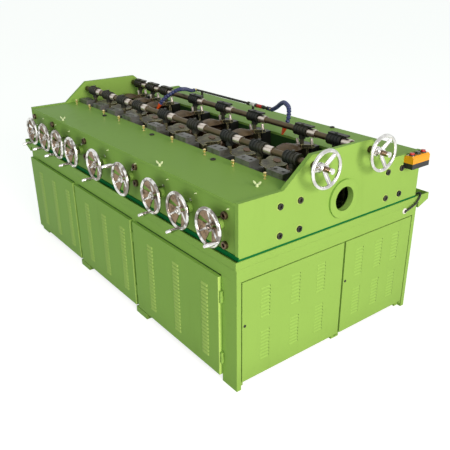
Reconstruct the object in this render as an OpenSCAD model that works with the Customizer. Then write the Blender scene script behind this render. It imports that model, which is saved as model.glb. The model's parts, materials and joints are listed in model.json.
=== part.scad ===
// Roller straightening machine: a green sheet-metal cabinet with a drip tray, a bed with two tables,
// and between them a trough with two rows of tilted hourglass rolls, set by handwheels and line shafts.
// Lengths in millimetres. +X is the infeed end, -Y the handwheel side, +Z up, floor at Z = 0.

/* [Cabinet] */
// Width of the cabinet
cab_w = 1350; // [1340:10:1500]
// Height of the tray floor, on which the bed stands
tray_h = 700; // [680:5:800]
// Height of the feet below the doors
foot_h = 45; // [30:1:80]
// Height of the plain band above the doors
band_h = 70; // [60:1:110]
// Thickness of posts and rails
post_t = 28; // [20:1:40]
// Width of a corner post along the front
corner_w = 118; // [100:1:140]
// Width of the posts between two doors
mid_w = 60; // [50:1:90]
// Middle of the second front post, from the infeed end
mid_near = 966; // [900:2:1010]
// Middle of the third front post, from the infeed end
mid_far = 1774; // [1720:2:1820]
// Middle of the end post, from the front face
end_mid = 745; // [700:1:800]

/* [Doors] */
// Thickness of doors and covers
door_t = 20; // [15:1:26]
// Gap round each door
door_gap = 6; // [5:0.5:10]
// Diameter of the hinge pins
hinge_pin = 8; // [6:0.5:10]
// Outer diameter of the hinge knuckles
knuckle_d = 16; // [14:0.5:18]
// Length of one knuckle
knuckle_l = 32; // [24:1:50]
// Distance of a hinge from the door's top and bottom
hinge_in = 110; // [80:5:160]
// Distance of an end door's pivot from its edge
pivot_in = 10; // [9:0.5:12]

/* [Tray] */
// Free length of the tray behind the bed
tray_free = 79; // [60:1:120]
// Height of the tray's lip
lip_h = 40; // [30:1:60]
// Thickness of the tray sheet
tray_t = 12; // [8:1:16]
// Thickness of the lip
lip_t = 6; // [4:0.5:10]
// How far the tray stands out at the back and at the far end
tray_over = 110; // [80:5:140]
// How far the tray stands out in front
tray_front = 5; // [2:1:12]
// Height of the tray's sloping underside
tray_slope = 45; // [30:1:60]

/* [Bed] */
// Height of the bed, from the tray floor to the top of its tables
bed_h = 308; // [300:1:340]
// Thickness of the tables
table_t = 15; // [10:1:25]
// How far the tables stand back from the cabinet's faces
table_in = 15; // [10:1:25]
// Thickness of front and back walls of the bed
wall_t = 12; // [8:1:16]
// Thickness of the two end plates
plate_t = 25; // [20:1:32]
// Height of the end plates' hump above the tables
hump_h = 145; // [130:1:170]
// Half width of the hump at its top
hump_top = 214; // [208:1:240]
// Half width of the hump at its foot
hump_foot = 390; // [370:5:420]
// Height by which the end plates stand above the tables
plate_up = 5; // [3:1:8]

/* [Rolls] */
// Height of the line along which the bar runs, above the tray floor
pass_up = 173; // [165:1:180]
// Length of a roll's body
roll_l = 230; // [220:1:236]
// Radius of a roll at its ends
roll_end = 92; // [88:0.5:94]
// Radius of a roll at its waist
roll_waist = 80; // [76:0.5:84]
// Width of the bevel at a roll's ends
roll_bevel = 26; // [20:1:28]
// Radius of a roll's axle
axle_r = 22; // [16:0.5:26]
// Half of the way left free for the bar
bar_half = 12; // [11:0.5:15]
// Slope of the rolls' axles to the bar
roll_slope = 78; // [76:1:80]
// Thickness of a yoke's cheeks
cheek_t = 20; // [16:1:22]
// Radius of the bearing in a cheek
cheek_r = 58; // [50:1:60]
// Radius of the ram that carries a yoke
ram_r = 50; // [40:1:54]
// Width of a ram's guide block
guide_w = 120; // [116:1:124]
// Length of a ram's guide
guide_l = 69; // [62:1:74]
// Length of the pad on a guide block
pad_l = 120; // [100:1:122]
// Height of that pad above the tables
pad_up = 30; // [20:1:34]
// Distance between the front rolls of the near group
front_near = 256; // [250:1:262]
// Distance between the front rolls of the middle group
front_mid = 336; // [330:1:342]
// Distance between the front rolls of the far group
front_far = 228; // [222:1:232]
// First front roll, from the infeed end
front_first = 144; // [142:1:160]
// Last front roll, from the far end plate
front_last = 138; // [136:1:150]
// Distance between the back rolls of the near group
back_near = 260; // [252:1:266]
// Distance between the back rolls of the middle group
back_mid = 330; // [326:1:333]
// Distance between the back rolls of the far group
back_far = 196; // [195:1:199]
// Free stretch between the near and the middle group of back rolls
back_gap = 428; // [420:1:434]
// Free stretch between the middle and the far group of back rolls
back_step = 392; // [384:1:398]
// First back roll, from the infeed end
back_first = 238; // [230:1:244]

/* [Line shafts] */
// Height of the line shafts above the tables
shaft_up = 92; // [86:1:100]
// Radius of a line shaft
shaft_r = 18; // [14:0.5:20]
// Radius of a worm box
worm_r = 30; // [28:0.5:31]
// Length of a worm box
worm_l = 96; // [90:1:98]
// Radius of a worm box's ribs
rib_r = 33; // [32:0.5:35]
// Thickness of those ribs
rib_t = 5; // [3:0.5:6]
// Radius of a clamp collar
collar_r = 24; // [22:0.5:25]
// Length of a clamp collar
collar_l = 58; // [50:1:62]
// Radius of the columns on a back yoke
column_r = 8; // [6:0.5:10]
// Distance between the two columns
column_gap = 118; // [112:1:120]
// Radius of the screw's neck under a worm box
neck_r = 20; // [16:0.5:22]

/* [Handwheels] */
// Diameter of the handwheels
wheel_d = 200; // [180:2:206]
// Diameter of the round rim bar
rim_d = 19; // [16:0.5:22]
// How far the hub lies behind the rim
wheel_dish = 24; // [18:1:32]
// Diameter of the hub
hub_d = 44; // [40:1:50]
// Length of the hub
hub_l = 40; // [34:1:46]
// Diameter of a spoke at the hub
spoke_d = 17; // [12:0.5:20]
// Diameter of a spoke at the rim
spoke_tip = 12; // [9:0.5:15]
// Distance of the front handwheels' rims from the front wall
wheel_out = 74; // [70:1:90]
// Distance of the end handwheels' rims from the near end plate
end_wheel_out = 88; // [80:1:100]
// Length of a revolving handle
handle_l = 74; // [60:1:90]
// Largest radius of a revolving handle
handle_r = 11; // [8:0.5:13]
// Radius of a spindle
spindle_r = 12; // [9:0.5:14]
// Radius of a spindle's boss
boss_r = 26; // [22:1:30]
// Length of a spindle's boss
boss_l = 22; // [16:1:24]

/* [Infeed] */
// Radius of the hole for the bar
hole_r = 66; // [60:0.5:68]
// Distance of that hole from the middle
hole_y = 28; // [0:1:30]
// Outer radius of the ring round it
ring_r = 105; // [90:1:108]
// Thickness of that ring
ring_t = 12; // [8:1:16]

/* [Control box] */
// Length of the box
box_l = 150; // [140:1:180]
// Depth of the box
box_w = 60; // [50:1:74]
// Height of its black base
box_base_h = 30; // [24:1:40]
// Height of its yellow cover
box_cover_h = 42; // [34:1:50]
// Bevel of the cover
box_bevel = 10; // [6:1:14]
// Distance of the box from the back of the bed
box_in = 1; // [0:1:30]
// Radius of a button
button_r = 13; // [10:0.5:15]
// Height of a button
button_h = 14; // [8:1:18]
// Distance of the box's underside below the tables
box_down = 70; // [50:1:90]

/* [Coolant] */
// Radius of the pipe
pipe_r = 8; // [6.5:0.5:9]
// Distance of the pipe from the middle
pipe_y = 485; // [460:5:520]
// Height of the pipe above the tables
pipe_up = 70; // [60:1:90]
// Length of the pipe
pipe_l = 885; // [800:5:950]
// Distance of the pipe's near end from the middle
pipe_near = 195; // [150:5:250]
// Radius of the hoses
hose_r = 13; // [11:0.5:14]
// Reach of a hose from the pipe's end
hose_reach = 400; // [390:1:410]
// Length of a nozzle
nozzle_l = 45; // [36:1:50]

/* [Hidden] */

$fn = 48;
// Radial clearance of a turning fit
run_gap = 0.05;
// Radial clearance of a fixed fit
fit_gap = 0.3;
// How far a cut runs past a face
past = 1;

// Rolls from the infeed end to the far end
front_steps = [0, front_near, front_near, front_mid, front_mid, front_mid, front_far, front_far, front_far];
back_steps = [0, back_near, back_gap, back_mid, back_mid, back_step, back_far, back_far];
function sum_to(list, i) = i < 0 ? 0 : list[i] + sum_to(list, i - 1);

// Faces and heights of the machine, with its near end at near_x and its front at front_y
bed_to = front_first + sum_to(front_steps, 8) + front_last;
cab_l = bed_to + plate_t + tray_free;
near_x = cab_l / 2;
far_x = -cab_l / 2;
front_y = -cab_w / 2;
back_y = cab_w / 2;
door_z = foot_h;
rail_z = tray_h - band_h;
door_h = rail_z - door_gap - door_z;
bed_z = tray_h + tray_t;
lip_z = tray_h + lip_h;
table_h = bed_z + bed_h;
pass_h = bed_z + pass_up;
plate_face = near_x - lip_t;
near_in = plate_face - plate_t;
far_in = near_x - bed_to;
far_face = far_in - plate_t;
wall_y = cab_w / 2 - table_in - plate_up;
table_y = cab_w / 2 - table_in;
table_low = table_h - table_t;
shaft_z = table_h + shaft_up;
roll_y = roll_end + bar_half;
end_mid_y = front_y + end_mid;
post_x = [near_x - mid_near, near_x - mid_far];

// Middles of the rolls, from the far end to the infeed end
front_x = [for (i = [8 : -1 : 0]) near_x - front_first - sum_to(front_steps, i)];
back_x = [for (i = [7 : -1 : 0]) near_x - back_first - sum_to(back_steps, i)];
// Angle at which each front handwheel's handle stands, from +X towards the top
handle_at = [-100, -115, -120, -110, -100, 125, -90, -80, -29];

// Yoke measures along the axle and across it, and the guide behind it
roll_gap = 6;
cheek_z = roll_l / 2 + roll_gap;
cheek_end = cheek_z + cheek_t;
axle_end = cheek_end + 4;
yoke_in = roll_end + roll_gap;
yoke_t = 14;
arm_half = 42;
shelf_in = 12;
column_in = 3;
yoke_half = 67;
// Columns on a back yoke's shelf, which reaches past them, and the domed cap on its upper cheek
column_first = -5;
column_l = 35;
shelf_end = column_first + column_gap + column_r + column_in;
dome_h = 42;
dome_r = (roll_end * roll_end + dome_h * dome_h) / (2 * dome_h);
ram_out = 30;
slide_gap = 5;
guide_in = roll_y + yoke_in + yoke_t + slide_gap;
trough_half = guide_in + guide_l;
guide_low = pass_h - ram_r - 20;
pad_in = -20;
pad_low = pass_h + ram_r + 10;
pad_hole = 11;
// Lean of the axles
lean = 90 - roll_slope;

// Line shafts over the yokes' screws, with their collars, and the worm boxes' small parts
shaft_y = roll_y + yoke_in + yoke_t - column_r - column_in;
collar_gap = 6;
collar_at = worm_l / 2 + collar_gap + collar_l / 2;
slit_w = 6;
slit_turn = 45;
slit_low = shaft_r + 2;
rib_count = 5;
neck_l = 18;
screw_r = 12;
plug_r = 9;
cap_half = 16;
cap_sink = 5;
cap_over = collar_gap + collar_l / 2;
cap_top = rib_r + cap_sink;

// Handwheel measures
rim_r = (wheel_d - rim_d) / 2;
wheel_y = -wall_y - wheel_out;
end_wheel_x = plate_face + end_wheel_out;
stub_l = 40;
stub_r = 14;
end_turn = -40;
hub_step = 8;
handle_sink = 2;
spindle_gap = 3;
spindle_end = -trough_half - ram_out - 4;

// Ends of the whole machine, and the shift that puts the origin under its middle
x_max = end_wheel_x + stub_l;
x_min = far_x - tray_over;
y_min = wheel_y - handle_l - rim_d / 2 + handle_sink;
y_max = back_y + tray_over;
shift = [-(x_max + x_min) / 2, -(y_max + y_min) / 2, 0];

// Colours as the machine shows them
green = "#8fb850";
dark_green = "#4d6b2f";
steel = "#9a9a94";
chrome = "#d9dcdd";
black = "#23251f";
brown = "#5b4a39";
olive = "#7d7f4f";
yellow = "#e5ab22";
red = "#c32418";
blue = "#2f4aa0";
orange = "#e07a1c";

module box(low, high) {
    translate(low) cube(high - low);
}

module along_x(r, from, to) {
    translate([from, 0, 0]) rotate([0, 90, 0]) cylinder(r = r, h = to - from);
}

module along_y(r, from, to) {
    translate([0, from, 0]) rotate([-90, 0, 0]) cylinder(r = r, h = to - from);
}

// Corner post as an L, with its corner at the origin and its long leg along +X; its short leg lies
// behind a rebate for a door's edge
module corner_post(rebate) {
    short = corner_w / 2;
    linear_extrude(rail_z) polygon([[0, 0], [corner_w, 0], [corner_w, post_t], [rebate + post_t, post_t],
        [rebate + post_t, short], [rebate, short], [rebate, post_t], [0, post_t]]);
}

// Cabinet

front_hinge_z = [door_z + hinge_in, door_z + door_h - hinge_in];
leaf_gap = 1;
leaf_t = 8;
door_sheet = 3;
hinge_y = front_y - knuckle_d / 2 - leaf_gap;

// Right-hand edge of front door i, at which it hangs; door 3 is the nearest
function front_edge(i) = i == 3 ? near_x - corner_w : post_x[2 - i] - door_gap - knuckle_d;
function front_low(i) = i == 1 ? far_x + door_gap : post_x[3 - i] + door_gap + leaf_gap;
function hinge_x(i) = front_edge(i) + knuckle_d / 2 + leaf_gap;

// Lower half of a lift-off hinge, with its pin and the leaf that holds it to the post
module hinge_seat(x, z) {
    translate([x, hinge_y, z]) {
        translate([0, 0, -knuckle_l]) cylinder(d = knuckle_d, h = knuckle_l);
        translate([0, 0, -past]) cylinder(d = hinge_pin, h = knuckle_l + past);
        box([-leaf_t / 2, 0, -knuckle_l], [leaf_t / 2, knuckle_d / 2 + leaf_gap, 0]);
    }
}

module base_posts() {
    color(green) {
        translate([near_x, front_y, 0]) mirror([1, 0, 0]) corner_post(door_t + door_gap);
        translate([near_x, back_y, 0]) rotate([0, 0, 180]) corner_post(door_t + door_gap);
        translate([far_x, front_y, 0]) corner_post(0);
        translate([far_x, back_y, 0]) mirror([0, 1, 0]) corner_post(0);
        for (x = post_x) {
            box([x - mid_w / 2, front_y, 0], [x + mid_w / 2, front_y + post_t, rail_z]);
            box([x - mid_w / 2, back_y - post_t, 0], [x + mid_w / 2, back_y, rail_z]);
        }
        box([far_x, end_mid_y - mid_w / 2, 0], [far_x + post_t, end_mid_y + mid_w / 2, rail_z]);
        box([near_x - door_t - door_gap - post_t, end_mid_y - mid_w / 2, 0],
            [near_x - door_t - door_gap, end_mid_y + mid_w / 2, rail_z]);
        for (i = [1 : 3], z = front_hinge_z) hinge_seat(hinge_x(i), z);
        for (y = end_pivot_y) sill_pivot(y);
    }
}

module base_rails() {
    color(green) difference() {
        box([far_x, front_y, rail_z], [near_x, back_y, tray_h]);
        box([far_x + end_rail, front_y + post_t, rail_z - past],
            [near_x - end_rail, back_y - post_t, tray_h + past]);
        for (y = end_pivot_y) end_pivot_hole(y);
    }
}

// Overlay covers on the back and at the far end, which nothing opens
module fixed_covers() {
    color(green) {
        for (i = [1 : 3])
            box([front_low(i), back_y, door_z],
                [front_edge(i) + knuckle_d, back_y + door_t, door_z + door_h]);
        for (side = [[front_y + door_gap, end_mid_y - door_gap / 2],
                [end_mid_y + door_gap / 2, back_y - door_gap]])
            box([far_x - door_t, side[0], door_z], [far_x, side[1], door_z + door_h]);
    }
}

// Box pressed from sheet, open on its inner side, which is the side at high[axis] or, if flipped, low[axis]
module pan(low, high, axis, flipped) {
    inset = [for (k = [0 : 2]) k == axis ? 0 : door_sheet];
    lift = [for (k = [0 : 2]) k == axis ? door_sheet : 0];
    over = [for (k = [0 : 2]) k == axis ? past : 0];
    difference() {
        box(low, high);
        if (flipped) box(low + inset - over, high - inset - lift);
        else box(low + inset + lift, high - inset + over);
    }
}

module door_front(i) {
    hx = hinge_x(i);
    color(green) difference() {
        union() {
            pan([front_low(i), front_y - door_t, door_z],
                [front_edge(i), front_y - leaf_gap, door_z + door_h], 1, false);
            for (z = front_hinge_z) {
                translate([hx, hinge_y, z + leaf_gap]) cylinder(d = knuckle_d, h = knuckle_l);
                box([front_edge(i) - door_sheet, hinge_y - leaf_t / 2, z + leaf_gap],
                    [hx, hinge_y + leaf_t / 2, z + leaf_gap + knuckle_l]);
            }
        }
        for (z = front_hinge_z)
            translate([hx, hinge_y, z])
                cylinder(r = hinge_pin / 2 + run_gap, h = knuckle_l + leaf_gap + past);
    }
}
module door_front_1() door_front(1);
module door_front_2() door_front(2);
module door_front_3() door_front(3);

// End doors hang on pins near their right-hand edges, in the rail above and on a sill pin below
end_hinge_y = [end_mid_y - door_gap, back_y - post_t - door_gap];
end_free_y = [front_y + post_t + door_gap, end_mid_y + door_gap];
end_pivot_y = [for (y = end_hinge_y) y - pivot_in];
pivot_x = near_x - door_t / 2;
pivot_r = 5;
pivot_l = 20;
pivot_play = 2;
sill_t = 8;
end_rail = post_t + door_t;

module end_pivot_hole(y) {
    translate([pivot_x, y, rail_z - past]) cylinder(r = pivot_r + run_gap, h = pivot_l + past);
}

// Tab on a post, with the pin on which an end door stands
module sill_pivot(y) {
    top = door_z - door_gap;
    box([near_x - door_t - door_gap - past, y - pivot_in, top - sill_t], [near_x, y + pivot_in, top]);
    translate([pivot_x, y, top - past]) cylinder(r = pivot_r, h = past + door_gap + pivot_in);
}

module door_end(i) {
    y = end_pivot_y[i];
    top = door_z + door_h;
    color(green) {
        difference() {
            pan([near_x - door_t, end_free_y[i], door_z], [near_x, end_hinge_y[i], top], 0, true);
            translate([near_x, end_hinge_y[i], 0]) rotate([0, 0, 45])
                cube([door_sheet, door_sheet, 4 * rail_z], center = true);
            translate([pivot_x, y, door_z - past]) cylinder(r = pivot_r + run_gap, h = door_sheet + 2 * past);
        }
        translate([pivot_x, y, top - door_sheet])
            cylinder(r = pivot_r, h = door_sheet + door_gap + pivot_l - pivot_play);
    }
}
module door_end_1() door_end(0);
module door_end_2() door_end(1);

// Drip tray: a sheet under the bed with a lip, flared over sloping flanges at the back and the far end
module drip_tray() {
    low = front_y - tray_front;
    color(green) difference() {
        union() {
            box([far_x, low, tray_h], [near_x, back_y, lip_z]);
            rotate([90, 0, 90]) translate([0, 0, x_min]) linear_extrude(near_x - x_min)
                polygon([[back_y, tray_h - tray_slope], [y_max, tray_h], [y_max, lip_z], [back_y, lip_z]]);
            rotate([90, 0, 0]) translate([0, 0, -y_max]) linear_extrude(y_max - low)
                polygon([[far_x, tray_h - tray_slope], [x_min, tray_h], [x_min, lip_z], [far_x, lip_z]]);
        }
        box([x_min + lip_t, low + lip_t, bed_z], [near_x - lip_t, y_max - lip_t, lip_z + past]);
        box([far_x - door_t, low - past, 0], [near_x + past, back_y + door_t, tray_h]);
    }
}

// Bed

module end_outline() {
    top = table_h + plate_up;
    polygon([[-table_y, bed_z], [table_y, bed_z], [table_y, top], [hump_foot, top],
        [hump_top, table_h + hump_h], [-hump_top, table_h + hump_h], [-hump_foot, top], [-table_y, top]]);
}

module end_plate(x) {
    color(green) difference() {
        translate([x, 0, 0]) rotate([90, 0, 90]) linear_extrude(plate_t) end_outline();
        translate([x - past, hole_y, pass_h]) along_x(hole_r, 0, plate_t + 2 * past);
        for (side = [-1, 1])
            translate([x - past, side * shaft_y, shaft_z]) along_x(shaft_r + run_gap, 0, plate_t + 2 * past);
    }
}
module near_end_plate() end_plate(near_in);
module far_end_plate() end_plate(far_face);

module front_wall() {
    color(green) difference() {
        box([far_in, -wall_y, bed_z], [near_in, -wall_y + wall_t, table_low]);
        for (x = front_x)
            translate([x, 0, pass_h])
                along_y(spindle_r + spindle_gap, -wall_y - past, -wall_y + wall_t + past);
    }
}

module back_wall() {
    color(green) box([far_in, wall_y - wall_t, bed_z], [near_in, wall_y, table_low]);
}

module table() {
    color(green) box([far_in, trough_half, table_low], [near_in, table_y, table_h]);
}
module back_table() table();
module front_table() mirror([0, 1, 0]) table();

module trough_wall(stations) {
    color(dark_green) difference() {
        box([far_in, trough_half, bed_z], [near_in, trough_half + wall_t, table_low]);
        for (x = stations)
            translate([x, 0, pass_h])
                along_y(ram_r + fit_gap, trough_half - past, trough_half + wall_t + past);
    }
}

module trough_walls() {
    trough_wall(back_x);
    mirror([0, 1, 0]) trough_wall(front_x);
}

// Guide block on the trough's wall, in which a ram slides; in front it has a drilled pad above the table
module ram_guide(x, padded) {
    color(steel) translate([x, 0, 0]) difference() {
        union() {
            box([-guide_w / 2, guide_in, guide_low], [guide_w / 2, trough_half, table_h]);
            if (padded) box([pad_in, guide_in, pad_low], [pad_in + pad_l, trough_half, table_h + pad_up]);
        }
        translate([0, 0, pass_h]) along_y(ram_r + fit_gap, guide_in - past, trough_half + past);
        if (padded) for (share = [0.25, 0.75])
            translate([pad_in + share * pad_l, (guide_in + trough_half) / 2, table_h])
                cylinder(r = pad_hole, h = pad_up + past);
    }
}

module ram_guides() {
    for (x = back_x) ram_guide(x, false);
    for (x = front_x) rotate([0, 0, 180]) ram_guide(-x, true);
}

// Domed cap with its foot at Z = 0
module dome() {
    difference() {
        translate([0, 0, dome_h - dome_r]) sphere(r = dome_r);
        translate([0, 0, -2 * dome_r]) cylinder(r = 2 * dome_r, h = 2 * dome_r);
    }
}

// Yoke with its ram: two bearing cheeks on a back plate, leaning as the roll does, and the screw on top;
// in the back row with a domed cap and two columns on a longer shelf
module roll_yoke(x, capped) {
    color(olive) translate([x, roll_y, pass_h]) {
        rotate([0, -lean, 0]) {
            difference() {
                union() {
                    for (z = [cheek_z, -cheek_end])
                        translate([0, 0, z]) {
                            cylinder(r = cheek_r, h = cheek_t);
                            box([-arm_half, 0, 0], [arm_half, yoke_in + yoke_t, cheek_t]);
                            box([-yoke_half, yoke_in - shelf_in, 0], [yoke_half, yoke_in + yoke_t, cheek_t]);
                        }
                    box([-yoke_half, yoke_in, -cheek_end], [yoke_half, yoke_in + yoke_t, cheek_end]);
                    if (capped) translate([0, 0, cheek_z]) {
                        dome();
                        box([0, yoke_in - shelf_in, 0], [shelf_end, yoke_in + yoke_t, cheek_t]);
                    }
                }
                cylinder(r = axle_r + run_gap, h = 2 * (cheek_end + dome_h), center = true);
            }
            if (capped) for (dx = [column_first, column_first + column_gap])
                translate([dx, shaft_y - roll_y, cheek_z]) cylinder(r = column_r, h = cheek_t + column_l);
        }
        along_y(ram_r, yoke_in + yoke_t / 2, trough_half + ram_out - roll_y);
        translate([0, shaft_y - roll_y, cheek_z])
            cylinder(r = screw_r, h = shaft_z - worm_r - neck_l - pass_h - cheek_z);
    }
}

module roll_yokes() {
    for (x = back_x) roll_yoke(x, true);
    for (x = front_x) rotate([0, 0, 180]) roll_yoke(-x, false);
}

// Hourglass roll on its axle, hollowed to an arc that the bar follows
module roll(x, side) {
    waist = roll_end - roll_waist;
    arc_r = (roll_l * roll_l / 4 + waist * waist) / (2 * waist);
    half = roll_l / 2;
    axle_top = side > 0 ? cheek_z + dome_h - past : axle_end;
    color(brown) translate([x, side * roll_y, pass_h]) rotate([0, -side * lean, 0]) {
        rotate_extrude() difference() {
            polygon([[0, -half], [roll_end - roll_bevel, -half], [roll_end, -half + roll_bevel],
                [roll_end, half - roll_bevel], [roll_end - roll_bevel, half], [0, half]]);
            translate([roll_waist + arc_r, 0]) circle(r = arc_r, $fn = 180);
        }
        translate([0, 0, -axle_end]) cylinder(r = axle_r, h = axle_end + axle_top);
    }
}
module roll_front_1() roll(front_x[0], -1);
module roll_front_2() roll(front_x[1], -1);
module roll_front_3() roll(front_x[2], -1);
module roll_front_4() roll(front_x[3], -1);
module roll_front_5() roll(front_x[4], -1);
module roll_front_6() roll(front_x[5], -1);
module roll_front_7() roll(front_x[6], -1);
module roll_front_8() roll(front_x[7], -1);
module roll_front_9() roll(front_x[8], -1);
module roll_back_1() roll(back_x[0], 1);
module roll_back_2() roll(back_x[1], 1);
module roll_back_3() roll(back_x[2], 1);
module roll_back_4() roll(back_x[3], 1);
module roll_back_5() roll(back_x[4], 1);
module roll_back_6() roll(back_x[5], 1);
module roll_back_7() roll(back_x[6], 1);
module roll_back_8() roll(back_x[7], 1);

// Ribbed worm box on a yoke's screw, with the screw's neck and an oil plug; a box of the back row carries
// a cap that reaches over the collar beside it
module worm_box(x, side) {
    color(black) translate([x, side * shaft_y, shaft_z]) difference() {
        union() {
            along_x(worm_r, -worm_l / 2, worm_l / 2);
            for (k = [0 : rib_count - 1]) {
                at = -worm_l / 2 + k * (worm_l - rib_t) / (rib_count - 1);
                along_x(rib_r, at, at + rib_t);
            }
            translate([0, 0, -worm_r - neck_l]) cylinder(r = neck_r, h = worm_r + neck_l);
            cylinder(r = plug_r, h = rib_r + plug_r);
            if (side > 0) {
                box([-worm_l / 2, -cap_half, worm_r - cap_sink], [worm_l / 2, cap_half, cap_top]);
                box([worm_l / 2 - past, -cap_half, collar_r + slide_gap],
                    [worm_l / 2 + cap_over, cap_half, cap_top]);
            }
        }
        along_x(shaft_r + run_gap, -worm_l / 2 - past, worm_l / 2 + past);
    }
}

module worm_boxes() {
    for (x = front_x) worm_box(x, -1);
    for (x = back_x) worm_box(x, 1);
}

module line_shaft(side, stations) {
    color(brown) translate([0, side * shaft_y, shaft_z]) {
        along_x(shaft_r, far_face, end_wheel_x - wheel_dish - hub_l / 2);
        for (x = stations) if (near_in - x > 2 * collar_at) translate([x + collar_at, 0, 0]) difference() {
            along_x(collar_r, -collar_l / 2, collar_l / 2);
            rotate([slit_turn, 0, 0])
                box([-collar_l / 2 - past, -slit_w / 2, slit_low],
                    [collar_l / 2 + past, slit_w / 2, collar_r + past]);
        }
    }
}
module front_line_shaft() line_shaft(-1, front_x);
module back_line_shaft() line_shaft(1, back_x);

// Handwheel with its axis along +Z, its rim at Z = 0 and its hub set back by the dish
module handwheel() {
    rotate_extrude() translate([rim_r, 0]) circle(d = rim_d);
    translate([0, 0, -wheel_dish]) {
        cylinder(d = hub_d, h = hub_l, center = true);
        translate([0, 0, -hub_l / 2]) cylinder(d = hub_d + hub_step, h = hub_step);
        for (a = [90 : 120 : 330]) rotate([0, 0, a]) rotate([0, atan2(rim_r, wheel_dish), 0])
            cylinder(d1 = spoke_d, d2 = spoke_tip, h = norm([rim_r, wheel_dish]));
    }
}

// Revolving handle along +Z, swelling towards its end
module handle() {
    neck = 0.6 * handle_r;
    rotate_extrude() polygon([[0, 0], [neck, 0], [neck, 0.16 * handle_l], [0.85 * handle_r, 0.2 * handle_l],
        [handle_r, 0.45 * handle_l], [handle_r, 0.7 * handle_l], [0.75 * handle_r, 0.95 * handle_l],
        [0.5 * handle_r, handle_l], [0, handle_l]]);
}

module end_handwheel(side) {
    color(chrome) translate([end_wheel_x, side * shaft_y, shaft_z]) rotate([90, 0, 90]) {
        rotate([0, 0, end_turn]) handwheel();
        translate([0, 0, -wheel_dish]) cylinder(r = stub_r, h = wheel_dish + stub_l);
    }
}
module front_end_handwheel() end_handwheel(-1);
module back_end_handwheel() end_handwheel(1);

// Front handwheel with its revolving handle and its spindle
module front_handwheel(i) {
    color(chrome) translate([front_x[i], wheel_y, pass_h]) {
        rotate([90, 0, 0]) {
            handwheel();
            rotate([0, 0, handle_at[i]]) translate([rim_r, 0, rim_d / 2 - handle_sink]) handle();
        }
        along_y(spindle_r, wheel_dish, spindle_end - wheel_y);
    }
}
module handwheel_1() front_handwheel(0);
module handwheel_2() front_handwheel(1);
module handwheel_3() front_handwheel(2);
module handwheel_4() front_handwheel(3);
module handwheel_5() front_handwheel(4);
module handwheel_6() front_handwheel(5);
module handwheel_7() front_handwheel(6);
module handwheel_8() front_handwheel(7);
module handwheel_9() front_handwheel(8);

module spindle_bosses() {
    color(green) for (x = front_x) translate([x, 0, pass_h]) difference() {
        along_y(boss_r, -wall_y - boss_l, -wall_y);
        along_y(spindle_r + run_gap, -wall_y - boss_l - past, -wall_y + past);
    }
}

module end_ring(x) {
    color(green) translate([x, hole_y, pass_h]) difference() {
        along_x(ring_r, 0, ring_t);
        along_x(hole_r, -past, ring_t + past);
    }
}

module end_rings() {
    end_ring(plate_face);
    end_ring(far_face - ring_t);
}

// Control box on a bracket at the near end plate

box_high_y = table_y - box_in;
box_low_y = box_high_y - box_l;
box_z = table_h - box_down;
cover_z = box_z + box_base_h;
box_top = cover_z + box_cover_h;

module control_box_base() {
    color(black) box([plate_face, box_low_y, box_z], [plate_face + box_w, box_high_y, cover_z]);
}

module control_box_cover() {
    color(yellow) translate([0, box_high_y, 0]) rotate([90, 0, 0]) linear_extrude(box_l)
        polygon([[plate_face, cover_z], [plate_face + box_w, cover_z],
            [plate_face + box_w, box_top - box_bevel], [plate_face + box_w - box_bevel, box_top],
            [plate_face + box_bevel, box_top], [plate_face, box_top - box_bevel]]);
}

module control_buttons() {
    for (i = [0 : 2])
        color(i == 1 ? black : red)
            translate([plate_face + box_w / 2, box_low_y + box_l * (i + 0.5) / 3, box_top])
                cylinder(r = button_r, h = button_h);
}

// Coolant pipe on posts at the back table, with an elbow at its far end, and a bent hose from each end

pipe_z = table_h + pipe_up;
pipe_from = pipe_near - pipe_l;
pipe_posts = [pipe_from + 0.1 * pipe_l, pipe_near - 0.2 * pipe_l];
post_r = 9;
elbow_r = pipe_r + 2;
elbow_l = 26;
elbow_x = pipe_from + elbow_r + 2;

module coolant_pipe() {
    color(black) {
        translate([0, pipe_y, pipe_z]) along_x(pipe_r, pipe_from, pipe_near);
        translate([elbow_x, pipe_y, pipe_z]) along_y(elbow_r, -elbow_l, 0);
        for (x = pipe_posts)
            translate([x, pipe_y, table_h]) {
                cylinder(r = post_r, h = pipe_up);
                cylinder(r = 2 * post_r, h = post_r);
            }
    }
}

// Points of the two hoses, from the pipe's ends to the nozzles, and the smooth way through them
hose_far = [for (share = [[0, 0, 0], [0, -0.05, 0], [0.095, -0.1475, 0.03], [0.295, -0.3725, 0.11],
        [0.52, -0.635, 0.175], [0.555, -0.7725, 0.17], [0.495, -0.8975, 0.0925], [0.4325, -0.985, 0.005],
        [0.4, -1.0175, -0.06]])
    [elbow_x, pipe_y - elbow_l, pipe_z] + hose_reach * share];
hose_near = [for (share = [[0, 0, 0], [0.0625, 0, 0], [0.2125, -0.0375, 0.07], [0.4375, -0.1375, 0.1875],
        [0.6625, -0.275, 0.25], [0.9, -0.4125, 0.23], [0.9875, -0.5, 0.085], [0.9725, -0.55, -0.04]])
    [pipe_near, pipe_y, pipe_z] + hose_reach * share];
function smooth_at(p, i, t) =
    let (n = len(p) - 1)
    let (a = p[max(i - 1, 0)], b = p[i], c = p[i + 1], d = p[min(i + 2, n)])
    0.5 * (2 * b + (c - a) * t + (2 * a - 5 * b + 4 * c - d) * t * t + (3 * b - a - 3 * c + d) * t * t * t);
function smooth(p, steps) = concat(
    [for (i = [0 : len(p) - 2], k = [0 : steps - 1]) smooth_at(p, i, k / steps)], [p[len(p) - 1]]);
function unit(v) = v / norm(v);
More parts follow.
